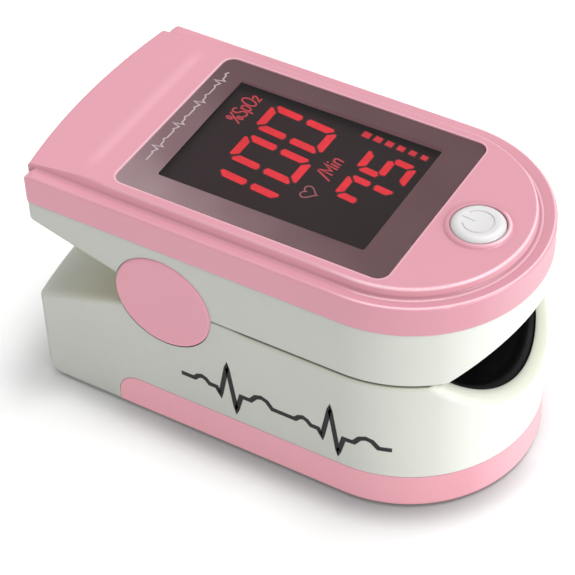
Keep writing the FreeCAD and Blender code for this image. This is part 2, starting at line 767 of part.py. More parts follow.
# ---------------------------------------------------------------------------
# Display, boards and button
# ---------------------------------------------------------------------------
def display_lens():
    def top_edge(edge):
        bounds = edge.BoundBox
        return abs(bounds.ZMin - Z_LENS) < 1e-4 and abs(bounds.ZMax - Z_LENS) < 1e-4

    lens = rounded_box(*LENS, Z_LENS - LENS_THICK, Z_LENS, R_LENS)
    return try_fillet(lens, 0.15, top_edge)


def led_display():
    return rounded_box(*grown(OPENING, -0.2), Z_BOARD_TOP + 0.04, 30.35, 0.7)


def main_board():
    """Board under the display with a tongue that reaches under the button."""
    board = rounded_box(-17.2, 16.4, -11.4, 11.4, Z_BOARD, Z_BOARD_TOP, 1.0)
    tongue = rounded_box(14.0, 24.6, -5.4, 5.4, Z_BOARD, Z_BOARD_TOP, 0.8)
    return board.fuse(tongue).removeSplitter()


# chips under the main board: x0, x1, y0, y1, underside z
CHIPS = [
    (-8.5, -3.5, 4.2, 9.2, 26.1),
    (-1.0, 3.0, 5.5, 9.0, 26.2),
    (-7.5, -4.0, -9.0, -5.5, 26.2),
    (1.0, 4.2, -8.8, -6.0, 26.0),
]


def ribbon_connector():
    body = box(*around(RIBBON_X, 0, 1.1, 2.6), 25.80, Z_UNDER_BOARD)
    return body.cut(box(*around(RIBBON_X, 0, 0.15, 1.5), 25.0, 26.3))


def tact_switch():
    body = box(*around(BUTTON_X, 0, 2.6, 2.6), Z_BOARD_TOP + 0.02, Z_BOARD_TOP + 0.88)
    return body.cut(upright_cylinder(0.95, BUTTON_X, 0, Z_BOARD_TOP + 0.20, 4))


def switch_plunger():
    z0 = Z_BOARD_TOP + 0.60
    return upright_cylinder(0.90, BUTTON_X, 0, z0, Z_BUTTON_BASE - 0.03 - z0)


def power_button():
    """Cap with a dished face and a flange under the cover."""
    cap = button_revolve([
        (0, Z_BUTTON_BASE), (R_BUTTON, Z_BUTTON_BASE), (R_BUTTON, Z_BUTTON - 0.46),
        ("arc", (R_BUTTON - 0.25, Z_BUTTON - 0.16), (R_BUTTON_TOP, Z_BUTTON)),
        (0, Z_BUTTON)])
    z_dish = Z_BUTTON - 0.12 + R_BUTTON_DISH
    cap = cap.cut(Part.makeSphere(R_BUTTON_DISH, V(BUTTON_X, 0, z_dish)))
    return fuse(cap, upright_cylinder(3.7, BUTTON_X, 0, Z_BUTTON_BASE, 0.75))


def cover_screw(x, y, z_head):
    """Head faces down; the shank runs up into the cover's boss."""
    screw = fuse(upright_cylinder(1.6, x, y, z_head, 0.9),
                 upright_cylinder(0.70, x, y, z_head + 0.5, 5.0))
    # cross recess
    for angle in (20, 110):
        slot = box(-1.0, 1.0, -0.17, 0.17, z_head - 0.1, z_head + 0.42)
        slot.rotate(V(0, 0, 0), V(0, 0, 1), angle)
        slot.translate(V(x, y, 0))
        screw = screw.cut(slot)
    return screw


def cover_screws():
    screws = [cover_screw(x, y, slope_z(UPPER_SLOPE, x) + 0.02) for x, y in SCREWS_REAR]
    return screws + [cover_screw(x, y, 22.94) for x, y in SCREWS_FRONT]


# ---------------------------------------------------------------------------
# Build and write every piece
# ---------------------------------------------------------------------------
lower_form = make_lower_form()
export("lower_shell", lower_shell(lower_form))
export("battery_door", battery_door(lower_form))

# the left cell's nub faces the front, the right cell's the rear
export("aaa_cells", cell(X_FLAT_A, CELL_Y, 1), cell(X_FLAT_B, -CELL_Y, -1))
export("battery_contacts", *battery_contacts())
export("contact_springs",
       contact_spring(X_PLATE_FACE + SPRING_INSET, X_FLAT_A - SPRING_INSET, CELL_Y),
       contact_spring(X_TAB_FACE - SPRING_INSET, X_FLAT_B + SPRING_INSET, -CELL_Y))

export("lower_finger_pad", finger_pad(
    R_TUNNEL_LOW, R_TUNNEL_LOW + PAD_THICK, Z_TUNNEL_LOW,
    plan(LIP + 0.06, 5, Z_LOWER_TOP - 0.10), (8, 16)))
export("detector_window", sensor_window(R_TUNNEL_LOW, Z_TUNNEL_LOW, 11.95, 13.35))
export("photodiode", box(*around(SENSOR_X, 0, 1.3, 1.3), 10.87, 11.85))
export("detector_board", rounded_box(3.6, 14.2, -1.5, 1.5, 10.45, 10.85, 0.4))
export("upper_finger_pad", finger_pad(
    R_TUNNEL_UP, R_TUNNEL_UP + PAD_THICK - PAD_GAP, Z_TUNNEL_UP,
    plan(LIP + 0.16, Z_UPPER_BOTTOM + 0.10, 30), (20, 30)))
export("emitter_window", sensor_window(R_TUNNEL_UP, Z_TUNNEL_UP, 22.8, 25.35))

export("upper_shell", upper_shell())
export("hinge_pin", hinge_pin())
export("hinge_cap_left", hinge_cap(1))
export("hinge_cap_right", hinge_cap(-1))
export("torsion_springs", *[torsion_spring(side) for side in SIDES])
export("ribbon_cable", ribbon_cable())

export("top_cover", top_cover())
export("display_lens", display_lens())
export("led_display", led_display())
export("main_board", main_board())
export("board_chips", *[box(*chip, Z_UNDER_BOARD) for chip in CHIPS])
export("emitter_leds", rounded_box(*around(SENSOR_X, 0, 1.6, 1.35), 25.75,
                                   Z_UNDER_BOARD, 0.2))
export("ribbon_connector", ribbon_connector())
export("tact_switch", tact_switch())
export("switch_plunger", switch_plunger())
export("power_button", power_button())
export("cover_screws", *cover_screws())
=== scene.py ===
# A fingertip pulse oximeter: two hinged halves that close over a finger.
# The finger goes in along X, through the round nose at +X; the hinge and battery end lie towards -X.
# +Z is up. The pink cover and the display are on top, and the digits read along +Y with their tops
# towards -X. The near side is -Y. Sizes are in millimetres unless a comment says otherwise.
import bpy
import bmesh
import json
import math
from contextlib import contextmanager
from mathutils import Matrix, Vector


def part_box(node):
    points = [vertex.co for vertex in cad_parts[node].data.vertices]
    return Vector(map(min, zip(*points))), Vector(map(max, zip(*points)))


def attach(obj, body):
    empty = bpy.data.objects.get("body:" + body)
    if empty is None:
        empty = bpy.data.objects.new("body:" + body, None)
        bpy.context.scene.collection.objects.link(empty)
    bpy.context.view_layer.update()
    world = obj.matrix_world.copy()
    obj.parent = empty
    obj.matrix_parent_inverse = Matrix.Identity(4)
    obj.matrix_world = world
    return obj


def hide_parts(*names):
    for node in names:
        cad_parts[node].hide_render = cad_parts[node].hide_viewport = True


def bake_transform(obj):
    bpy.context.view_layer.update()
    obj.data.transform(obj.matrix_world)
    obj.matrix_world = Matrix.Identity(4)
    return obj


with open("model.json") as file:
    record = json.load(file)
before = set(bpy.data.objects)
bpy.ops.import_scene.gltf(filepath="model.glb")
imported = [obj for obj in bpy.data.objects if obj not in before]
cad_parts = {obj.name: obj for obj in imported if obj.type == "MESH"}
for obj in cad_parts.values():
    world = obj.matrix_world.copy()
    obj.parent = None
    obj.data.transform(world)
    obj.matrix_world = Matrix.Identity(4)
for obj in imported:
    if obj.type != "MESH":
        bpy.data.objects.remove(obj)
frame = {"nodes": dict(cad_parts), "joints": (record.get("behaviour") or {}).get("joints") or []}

MM = 0.001
scene = bpy.context.scene
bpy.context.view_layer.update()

HINGE = [joint for joint in frame["joints"] if joint["name"] == "jaw_hinge"][0]
HINGE_X = HINGE["pos_m"][0] / MM
HINGE_Z = HINGE["pos_m"][2] / MM
NOSE_X = 13.0               # centre of the round front
WALL_RADIUS = 15.4          # half width of the body, and its radius round the nose
LOWER_ARC_Z = 25.3          # axis of the curve of the lower pad
UPPER_ARC_Z = 7.3           # axis of the curve of the upper pad
SENSOR_X = 9.5              # middle of the sensor windows
HOLE_HALF_X = 2.9           # half size of the pads' window openings
HOLE_HALF_Y = 2.4

# ---------------------------------------------------------------------------
# colours and shader graphs
# ---------------------------------------------------------------------------
WHITE_LIGHT = (1.0, 1.0, 1.0, 1.0)
MATERIALS = {}              # every finished material, by name


def srgb(*channels):
    """sRGB 0-255 to linear RGBA."""
    linear = []
    for value in channels:
        value = value / 255.0
        linear.append(value / 12.92 if value <= 0.04045 else ((value + 0.055) / 1.055) ** 2.4)
    return (*linear, 1.0)


def tint(color, *gains):
    """A linear colour times one gain, or one gain per channel, as RGBA."""
    return (*[channel * gain for channel, gain in zip(color[:3], gains * 3)], 1.0)


def math_method(operation, swapped=False):
    def method(signal, *others):
        values = (*others, signal) if swapped else (signal, *others)
        return signal.graph.math(operation, *values)
    return method


class Signal:
    """A shader socket that takes part in arithmetic; every operation adds one Math node."""

    def __init__(self, graph, socket):
        self.graph = graph
        self.socket = socket

    __add__ = math_method("ADD")
    __radd__ = math_method("ADD", swapped=True)
    __sub__ = math_method("SUBTRACT")
    __rsub__ = math_method("SUBTRACT", swapped=True)
    __mul__ = math_method("MULTIPLY")
    __truediv__ = math_method("DIVIDE")
    __pow__ = math_method("POWER")
    __rpow__ = math_method("POWER", swapped=True)
    __abs__ = math_method("ABSOLUTE")
    sqrt = math_method("SQRT")
    fract = math_method("FRACT")
    at_least = math_method("MAXIMUM")
    at_most = math_method("MINIMUM")
    above = math_method("GREATER_THAN")
    below = math_method("LESS_THAN")
    times_add = math_method("MULTIPLY_ADD")

    def span(self, start, end, to=(0.0, 1.0), **settings):
        """Carries start..end over to the range `to`, clamped."""
        values = dict(enumerate((self, start, end, *to)))
        return self.graph.node("MapRange", values, **settings)

    def ease(self, start, end, to=(0.0, 1.0)):
        """Like span, with soft ends."""
        return self.span(start, end, to, interpolation_type="SMOOTHSTEP")

    def spread(self, low, high):
        """The middle of a noise carried over to low..high."""
        return self.span(0.3, 0.7, to=(low, high))

    def sibling(self, output):
        """Another output of the same node."""
        return Signal(self.graph, self.socket.node.outputs[output])


class Graph:
    """A material under construction."""

    def __init__(self, name):
        self.material = bpy.data.materials.new(name)
        self.material.use_nodes = True
        self.tree = self.material.node_tree
        self.tree.nodes.clear()
        self.surface = self.tree.nodes.new("ShaderNodeOutputMaterial").inputs[0]
        self.name = name
        self.position = None

    def put(self, socket, value):
        if isinstance(value, Signal):
            self.tree.links.new(value.socket, socket)
        else:
            socket.default_value = value

    def node(self, kind, inputs={}, output=0, **settings):
        """Adds a node, fills its inputs and returns one output."""
        node = self.tree.nodes.new("ShaderNode" + kind)
        for key, value in settings.items():
            setattr(node, key, value)
        for key, value in inputs.items():
            self.put(node.inputs[key], value)
        return Signal(self, node.outputs[output])

    def math(self, operation, *values, clamp=False):
        return self.node("Math", dict(enumerate(values)), operation=operation, use_clamp=clamp)

    def millimetres(self):
        """Object coordinates in millimetres; made once per graph."""
        if self.position is None:
            coords = self.node("TexCoord", output="Object")
            self.position = self.node("VectorMath", {0: coords, "Scale": 1 / MM},
                                      operation="SCALE")
        return self.position

    def split(self, vector):
        x = self.node("SeparateXYZ", {0: vector})
        return x, x.sibling(1), x.sibling(2)

    def xyz(self):
        return self.split(self.millimetres())

    def facing(self):
        """X, Y and Z of the surface normal."""
        return self.split(self.node("NewGeometry", output="Normal"))

    def camera_ray(self):
        return self.node("LightPath", output="Is Camera Ray")

    def noise(self, scale, detail=3.0, rough=0.5, stretch=None):
        vector = self.millimetres()
        if stretch:
            vector = self.node("Mapping", {0: vector, "Scale": stretch})
        return self.node("TexNoise", {"Vector": vector, "Scale": scale, "Detail": detail,
                                      "Roughness": rough}, output="Fac")

    def ramp(self, value, *stops):
        """Colour ramp; each stop is (position, RGBA)."""
        color = self.node("ValToRGB", {0: value})
        elements = color.socket.node.color_ramp.elements
        while len(elements) > 1:
            elements.remove(elements[-1])
        elements[0].position, elements[0].color = stops[0]
        for position, rgba in stops[1:]:
            elements.new(position).color = rgba
        return color

    def two_tone(self, value, first, second):
        """A noise coloured from first to second."""
        return self.ramp(value, (0.3, first), (0.7, second))

    def mix(self, amount, first, second, blend="MIX"):
        return self.node("Mix", {0: amount, 6: first, 7: second}, output=2,
                         data_type="RGBA", blend_type=blend)

    def paint(self, color, layers):
        """Lays (mask, RGBA[, blend]) layers over a colour in turn."""
        for mask, rgba, *blend in layers:
            color = self.mix(mask, color, rgba, *blend)
        return color

    def bump(self, height, depth, strength, normal=None):
        inputs = {"Strength": strength, "Distance": depth * MM, "Height": height}
        if normal is not None:
            inputs["Normal"] = normal
        return self.node("Bump", inputs)

    def bevel(self, radius, samples=6):
        return self.node("Bevel", {"Radius": radius * MM}, samples=samples)

    def edge(self, rounded):
        """0 on a flat face, rising on an edge; takes the bevelled normal."""
        normal = self.node("NewGeometry", output="Normal")
        match = self.node("VectorMath", {0: normal, 1: rounded}, output="Value",
                          operation="DOT_PRODUCT")
        return match.span(0.995, 0.80)

    def principled(self, **inputs):
        return self.node("BsdfPrincipled",
                         {key.replace("_", " "): value for key, value in inputs.items()})

    def emit(self, shader, color, strength):
        inputs = shader.socket.node.inputs
        self.put(inputs["Emission Color"], color)
        self.put(inputs["Emission Strength"], strength)

    def finish(self, shader):
        self.put(self.surface, shader)
        MATERIALS[self.name] = self.material


def length(first, second):
    return (first * first + second * second).sqrt()


def nose_radius(x, y):
    """Distance from the middle line, and from the nose centre ahead of it."""
    return length((x - NOSE_X).at_least(0.0), y)


# ---------------------------------------------------------------------------
# moulded plastics
# ---------------------------------------------------------------------------
PINK = (0.47, 0.200, 0.248)         # linear RGB
PINK_GLOW = (0.32, 0.155, 0.180)
CREASE_X = -20.4                    # crease across the deck of the cover


def plastic(mat, base, layers=(), rough=(0.32, 0.42), edge_gain=1.10, bevel=0.16,
            crevice=0.45, crevice_mm=0.9, **finish):
    """Moulded ABS: faint clouding, a fine tool texture, painted highlights on rounded edges
    and painted shade in crevices. Returns the shader and the grey of its painted crevice shade."""
    cloud = mat.noise(scale=0.055)
    mottle = mat.noise(scale=0.9, detail=4.0, rough=0.6)
    spark = mat.noise(scale=7.0, rough=0.65)
    color = mat.ramp(cloud * 0.75 + mottle * 0.25,
                     (0.30, tint(base, 0.965)), (0.55, tint(base, 1.0)), (0.80, tint(base, 1.03)))
    rounded = mat.bevel(bevel)
    # painted shade: ambient occlusion darkens crevices, seams and gaps
    openness = mat.node("AmbientOcclusion", {"Distance": crevice_mm * MM}, output="AO", samples=4)
    tone = openness.span(0.30, 0.92, to=(crevice, 1.0))
    # painted highlight: convex rounded edges turn paler
    edge = mat.edge(rounded) * openness.span(0.50, 0.80)
    edge_highlight = tuple(channel * edge_gain + 0.015 for channel in base)
    color = mat.mix(edge * 0.85, color, (*edge_highlight, 1))
    color = mat.paint(color, layers)
    crevice_shade = mat.node("CombineColor", {0: tone, 1: tone, 2: tone})
    color = mat.mix(1.0, color, crevice_shade, "MULTIPLY")
    roughness = (mottle * 0.6 + spark * 0.4).spread(*rough) - edge * 0.08
    normal = mat.bump(spark, depth=0.0035, strength=0.5, normal=rounded)
    waviness = mat.noise(scale=0.22, detail=2.0)
    normal = mat.bump(waviness, depth=0.012, strength=0.35, normal=normal)
    shader = mat.principled(Base_Color=color, Roughness=roughness, Normal=normal, IOR=1.50,
                            **finish)
    return shader, crevice_shade


def glowing_plastic(mat, base, glow, glow_layers=(), **look):
    """Plastic with a painted glow, which only the camera sees, that brightens it and flattens its
    shading.
    """
    shader, crevice_shade = plastic(mat, base, **look)
    # the painted glow is dimmed by the painted crevice shade
    light = mat.mix(1.0, (*glow, 1), crevice_shade, "MULTIPLY")
    # painted highlight: the glow turns paler where the face turns to +X
    turned_highlight = mat.facing()[0].span(0.80, 1.0, to=(0.0, 0.75))
    light = mat.mix(turned_highlight, light, tint(glow, 1.28, 1.95, 1.80))
    mat.emit(shader, mat.paint(light, glow_layers), mat.camera_ray())
    mat.finish(shader)


def cover_masks(mat):
    """Masks on the pink cover: thin painted highlights, a painted shade line at the foot of the
    deck, painted light that makes the walls and the rear of the deck paler, and the blacked-out
    display opening."""
    x, y, z = mat.xyz()
    radius = nose_radius(x, y)

    def line(at, width, low, high):
        """A thin line round the body at a nose radius, between two heights."""
        near = abs(radius - at).ease(width, 0.25 * width)
        return near * (z.span(low, low + 0.05) * z.span(high, high - 0.05))

    # highlights along the deck edge, the ledge and the outside edge, strongest round the nose
    deck = line(at=13.32, width=0.17, low=31.28, high=31.8) * x.ease(8.0, 15.0, to=(0.30, 1.0))
    deck = deck * x.ease(-19.0, -16.0)
    ledge = line(at=13.98, width=0.13, low=30.2, high=30.62) * x.ease(11.0, 15.0, to=(0.0, 0.85))
    outer = line(at=15.28, width=0.16, low=30.45, high=30.85) * x.ease(10.0, 16.0, to=(0.10, 0.75))
    shine = deck.at_least(ledge.at_least(outer))
    # painted shade: a dark line along the foot of the deck
    foot_shade = line(at=13.66, width=0.16, low=30.2, high=30.80) * x.ease(8.0, 15.0, to=(0.25, 0.50))

    # a glint on part of the collar round the button
    collar_x, collar_radius = 20.95, 3.38
    collar = ((x - collar_x) ** 2.0 + y * y).sqrt()
    glint = abs(collar - collar_radius).ease(0.22, 0.04)
    glint = glint * (x.ease(22.0, 23.2, to=(0.0, 0.9)) * y.ease(-3.2, -1.2))
    shine = shine.at_least(glint * z.span(31.5, 31.6))

    # painted highlight along the edge of the lens recess: distance to a rounded rectangle
    corner, half_x, half_y, shift_x = 1.4, 16.725, 12.24, 0.445
    over_x = abs(x + shift_x) - (half_x - corner)
    over_y = abs(y) - (half_y - corner)
    outside = length(over_x.at_least(0.0), over_y.at_least(0.0))
    inside = over_x.at_least(over_y).at_most(0.0)
    recess = (outside + inside) - corner
    recess_highlight = abs(recess - 0.08).ease(0.17, 0.04) * z.span(31.2, 31.3)
    shine = shine.at_least(recess_highlight * x.span(-15.0, -10.0, to=(0.60, 0.36)))

    opening = abs(x + 0.6).span(13.58, 13.53) * abs(y).span(10.03, 9.98)
    # painted light: walls facing sideways and the rear of the deck turn paler
    wall = mat.facing()[2].span(0.5, 0.2) * x.span(20.0, 4.0, to=(0.35, 1.0))
    painted_light_paler = wall.at_least(x.span(-14.0, -22.0, to=(0.0, 0.9)))
    return shine, foot_shade, painted_light_paler, opening


def crease_light(mat):
    """Soft light along the crease of the deck."""
    x, y, z = mat.xyz()
    lobe = x.ease(CREASE_X - 1.3, CREASE_X - 0.1)
    lobe = lobe * x.ease(CREASE_X + 0.1, CREASE_X + 0.9, to=(1.0, 0.0))
    return (lobe * z.span(30.5, 30.9)) * abs(y).ease(9.0, 12.6, to=(1.0, 0.0))


def pink_cover():
    mat = Graph("pink_shell")
    shine, foot_shade, painted_light_paler, opening = cover_masks(mat)
    # painted shade at the deck's foot, painted light on the walls, painted highlights, the
    # blacked-out opening and painted crease light
    layers = [(foot_shade, tint(PINK, 0.45, 0.36, 0.40)),
              (painted_light_paler, tint(PINK, 1.15, 1.18, 1.17)),
              (shine * 0.52, (0.86, 0.66, 0.70, 1)),
              (opening, (0.012, 0.009, 0.010, 1)),
              (crease_light(mat) * 0.80, tint(PINK, 1.30, 1.55, 1.45))]
    glow_layers = [(foot_shade, tint(PINK_GLOW, 0.70, 0.62, 0.64)),
                   (shine * 0.40, (0.44, 0.33, 0.355, 1)),
                   (opening, (0.0, 0.0, 0.0, 1))]
    glowing_plastic(mat, PINK, PINK_GLOW, glow_layers, layers=layers, edge_gain=1.75,
                 crevice_mm=0.7, Coat_Weight=0.25, Coat_Roughness=0.16)


def white_shell():
    mat = Graph("white_shell")
    x, y, z = mat.xyz()
    # the wedge behind the hinge holds a warm, dim light, between two sloping planes
    inside = x.ease(-27.0, -15.5, to=(0.15, 1.0)) * x.span(-8.0, -11.0)
    under_top = (z - x.times_add(0.3455, 22.12)).ease(-0.75, -0.15)
    over_bottom = (z - x.times_add(-0.287, 16.81)).ease(0.35, 0.05)
    wedge = inside * (under_top * over_bottom)
    # the parting line: a painted warm shade under it and a fine painted shadow line in it
    radius = nose_radius(x, y)
    parting = z.span(19.32, 19.30) * (radius.span(14.2, 14.6) * x.span(-1.0, 1.0))
    # the rolled lip round the finger opening gets a painted warm shade
    arc_radius = (y * y + (z - LOWER_ARC_Z) ** 2.0).sqrt()
    lip = arc_radius.ease(13.9, 12.7) * (z.span(19.34, 19.32) * x.span(17.0, 19.5))
    layers = [(wedge * 0.72, (0.84, 0.79, 0.62, 1), "MULTIPLY"),
              ((parting * z.span(18.45, 19.10)) * 0.60, (0.80, 0.79, 0.64, 1), "MULTIPLY"),
              ((parting * z.span(18.98, 19.16)) * 0.80, (0.17, 0.17, 0.13, 1)),
              (lip * y.span(-6.0, 6.0, to=(0.38, 0.72)), (0.80, 0.79, 0.66, 1), "MULTIPLY")]
    shader, _ = plastic(mat, (0.85, 0.87, 0.795), layers, edge_gain=1.08, crevice=0.18)
    # faces turned to +X burn out to white, except the lip
    burn = mat.facing()[0].span(0.62, 0.92, to=(0.0, 0.16)) * (1.0 - lip)
    mat.emit(shader, WHITE_LIGHT, burn * mat.camera_ray())
    mat.finish(shader)


pink_cover()
glowing_plastic(Graph("pink_door"), (0.52, 0.240, 0.285), glow=(0.395, 0.188, 0.214), crevice=0.65)
glowing_plastic(Graph("pink_cap"), (0.54, 0.24, 0.29), glow=(0.36, 0.170, 0.205), crevice=0.85,
             edge_gain=1.2)
white_shell()
glowing_plastic(Graph("white_button"), (0.56, 0.55, 0.555), glow=(0.25, 0.245, 0.248),
             rough=(0.26, 0.34), edge_gain=1.03, bevel=0.10, crevice=0.78, crevice_mm=0.5)


# ---------------------------------------------------------------------------
# other materials
# ---------------------------------------------------------------------------


def silicone():
    mat = Graph("black_silicone")
    fine = mat.noise(scale=5.0, detail=4.0, rough=0.65)
    broad = mat.noise(scale=0.35)
    dust = mat.noise(scale=14.0, detail=2.0, rough=0.7)
    color = mat.two_tone(broad, (0.0025, 0.0025, 0.003, 1), (0.006, 0.006, 0.0065, 1))
    color = mat.mix(dust.span(0.72, 0.80, to=(0.0, 0.25)), color, (0.03, 0.03, 0.03, 1))
    normal = mat.bump(fine, depth=0.010, strength=0.6, normal=mat.bevel(0.15))
    mat.finish(mat.principled(Base_Color=color, Roughness=fine.spread(0.42, 0.60),
                              Normal=normal, IOR=1.41, Specular_IOR_Level=0.30))


def steel(name, base, rough, stretch=(1, 1, 1)):
    """Bright metal with streaks drawn out across the stretched axes."""
    mat = Graph(name)
    streak = mat.noise(scale=6.0, detail=4.0, rough=0.6, stretch=stretch)
    color = mat.two_tone(mat.noise(scale=0.6), tint(base, 0.82), base)
    normal = mat.bump(streak, depth=0.004, strength=0.6, normal=mat.bevel(0.05, samples=4))
    mat.finish(mat.principled(Base_Color=color, Metallic=1.0, Roughness=streak.spread(*rough),
                              Normal=normal))


def clear_window():
    """Moulded sensor window: see-through with a faint tint and a smooth face."""
    mat = Graph("window_clear")
    cloud = mat.noise(scale=1.2)
    normal = mat.bump(cloud, depth=0.01, strength=0.3, normal=mat.bevel(0.12))
    color = mat.two_tone(cloud, (0.62, 0.55, 0.55, 1), (0.72, 0.66, 0.66, 1))
    clear = mat.node("BsdfTransparent", {0: color})
    face = mat.principled(Base_Color=(0.28, 0.24, 0.25, 1), Roughness=cloud.spread(0.06, 0.14),
                          Normal=normal)
    mat.finish(mat.node("MixShader", {0: 0.38, 1: clear, 2: face}))


def tinted_lens():
    """Smoked acrylic: mostly seen through, with a soft sheen of the studio on top."""
    mat = Graph("tinted_lens")
    broad = mat.noise(scale=0.12, detail=2.0)
    fine = mat.noise(scale=3.0, rough=0.6)
    normal = mat.bump(broad, depth=0.02, strength=0.25, normal=mat.bevel(0.12))
    normal = mat.bump(fine, depth=0.0001, strength=0.4, normal=normal)
    color = mat.two_tone(broad, (0.90, 0.86, 0.87, 1), (0.95, 0.92, 0.93, 1))
    clear = mat.node("BsdfTransparent", {0: color})
    gloss = mat.node("BsdfGlossy", {"Color": WHITE_LIGHT, "Roughness": fine.spread(0.05, 0.10),
                                    "Normal": normal})
    front = 1.0 - mat.node("NewGeometry", output="Backfacing")
    fresnel = mat.node("Fresnel", {"IOR": 1.49})
    mirror = mat.math("MULTIPLY", fresnel, front * 0.40, clamp=True)
    glass = mat.node("MixShader", {0: mirror, 1: clear, 2: gloss})
    # the even part of the studio's reflection
    sheen = mat.node("Emission", {0: (1.0, 0.93, 0.94, 1), 1: (front * 0.011) * mat.camera_ray()})
    mat.finish(mat.node("AddShader", {0: glass, 1: sheen}))


def border_print():
    """The smoky border under the lens, palest at the -X, -Y corner."""
    mat = Graph("lens_border_print")
    x, y, z = mat.xyz()
    wave = (mat.noise(scale=0.10, detail=2.0) - 0.5) * 0.5
    slope = (x * 0.030 + y * 0.042) + wave
    color = mat.ramp(slope.span(-1.0, 0.55),
                     (0.0, srgb(172, 150, 154)), (0.30, srgb(136, 108, 113)),
                     (0.60, srgb(102, 72, 76)), (1.0, srgb(94, 62, 66)))
    weave = mat.noise(scale=9.0, detail=2.0)
    color = mat.mix(weave.span(0.35, 0.65, to=(0.0, 0.05)), color, srgb(140, 116, 120))
    mat.finish(mat.principled(Base_Color=color, Roughness=weave.spread(0.45, 0.6)))


def display_face():
    mat = Graph("display_black")
    fine = mat.noise(scale=4.0, rough=0.6)
    broad = mat.noise(scale=0.12, detail=2.0)
    x, y, z = mat.xyz()
    slope = (x * 0.04 + (broad - 0.5) * 0.6).span(-0.6, 0.6)
    color = mat.ramp(slope, (0.0, srgb(46, 34, 36)), (1.0, srgb(40, 30, 31)))
    mat.finish(mat.principled(Base_Color=color, Roughness=fine.spread(0.60, 0.68),
                              Normal=mat.bump(broad, depth=0.0004, strength=0.4),
                              Specular_IOR_Level=0.15))


def lit_led(name, core, edge, strength):
    """A lit LED mark with fine unevenness between two colours."""
    mat = Graph(name)
    blend = mat.noise(scale=1.4) * 0.8 + mat.noise(scale=9.0, detail=2.0) * 0.2
    color = mat.ramp(blend, (0.30, srgb(*edge)), (0.62, srgb(*core)))
    mat.finish(mat.principled(Base_Color=(0.05, 0.003, 0.004, 1), Roughness=0.5,
                              Emission_Color=color, Emission_Strength=strength))


def plain(name, dark, light, scale, rough, depth=0.004):
    """A two-tone surface with a light bump."""
    mat = Graph(name)
    grain = mat.noise(scale=scale, detail=4.0, rough=0.6)
    color = mat.two_tone(grain, srgb(*dark), srgb(*light))
    normal = mat.bump(grain, depth=depth, strength=0.5, normal=mat.bevel(0.06, samples=4))
    mat.finish(mat.principled(Base_Color=color, Roughness=grain.spread(*rough), Normal=normal))


def circuit_board():
    """Green board: brick-like tracks and round tinned pads."""
    mat = Graph("circuit_board")
    tracks = mat.node("TexBrick", {
        "Vector": mat.millimetres(), "Scale": 0.55, "Mortar Size": 0.05,
        "Color1": srgb(18, 84, 50), "Color2": srgb(22, 92, 56), "Mortar": srgb(40, 122, 76),
    }, output="Color", offset=0.5)
    cells = mat.node("TexVoronoi", {"Vector": mat.millimetres(), "Scale": 0.7},
                     output="Distance")
    pad = cells.span(0.10, 0.13, to=(1.0, 0.0))
    color = mat.mix(pad, tracks, srgb(206, 190, 140))
    mat.finish(mat.principled(
        Base_Color=color, Metallic=pad * 0.8, Roughness=mat.noise(scale=3.0).spread(0.25, 0.4),
        Normal=mat.bump(tracks.sibling("Fac"), depth=0.02, strength=0.4)))


def ribbon_film():
    """Amber film with copper traces running along it."""
    mat = Graph("ribbon_amber")
    x, y, z = mat.xyz()
    traces_per_mm = 2.5
    across = abs(((y + 10.0) * traces_per_mm).fract() - 0.5)
    trace = across.span(0.22, 0.30, to=(1.0, 0.0))
    film = mat.two_tone(mat.noise(scale=2.0), srgb(150, 84, 26), srgb(172, 100, 34))
    color = mat.mix(trace, film, srgb(196, 128, 62))
    mat.finish(mat.principled(Base_Color=color, Roughness=0.28, Metallic=trace * 0.4,
                              Normal=mat.bump(trace, depth=0.01, strength=0.4)))


def cell_wrap():
    """AAA sleeve: plain dark body with a copper-coloured end band; bare steel ends."""
    mat = Graph("cell_wrap")
    x, y, z = mat.xyz()
    # the cell at +Y points to +X, the cell at -Y points to -X
    along = mat.node("Mix", {0: y.above(0.0), 2: 19.95 - x, 3: x + 22.45}, data_type="FLOAT")
    cloud = mat.noise(scale=1.0)
    body = mat.two_tone(cloud, srgb(30, 46, 62), srgb(38, 56, 74))
    band = mat.two_tone(cloud, srgb(186, 128, 62), srgb(204, 146, 76))
    color = mat.mix(along.span(30.4, 30.6), body, band)
    bare = along.below(0.35).at_least(along.above(43.3))
    color = mat.mix(bare, color, srgb(206, 206, 206))
    seam = abs(along - 30.5).span(0.0, 0.18, to=(1.0, 0.0))
    normal = mat.bump(seam, depth=0.03, strength=0.5, normal=mat.bevel(0.12, samples=4))
    mat.finish(mat.principled(Base_Color=color, Metallic=bare * 0.6 + 0.35,
                              Roughness=cloud.spread(0.22, 0.34), Normal=normal))


silicone()
steel("steel_pin", srgb(196, 197, 200), rough=(0.16, 0.30), stretch=(1, 8, 1))
steel("spring_steel", srgb(170, 171, 175), rough=(0.22, 0.36), stretch=(6, 1, 6))
steel("contact_nickel", srgb(214, 212, 204), rough=(0.12, 0.26), stretch=(1, 1, 6))
steel("screw_steel", srgb(120, 121, 126), rough=(0.25, 0.42))
clear_window()
tinted_lens()
border_print()
display_face()

# name, core colour, edge colour, strength
LEDS = [
    ("led_lit", (240, 36, 50), (222, 30, 44), 1.0),
    ("led_lit_dots", (226, 50, 62), (200, 42, 54), 0.95),
    ("led_glow", (104, 34, 38), (84, 32, 36), 0.30),
    ("led_legend", (214, 70, 80), (190, 66, 76), 0.85),
    ("led_legend_dim", (170, 110, 112), (150, 92, 96), 0.8),
]
for row in LEDS:
    lit_led(*row)

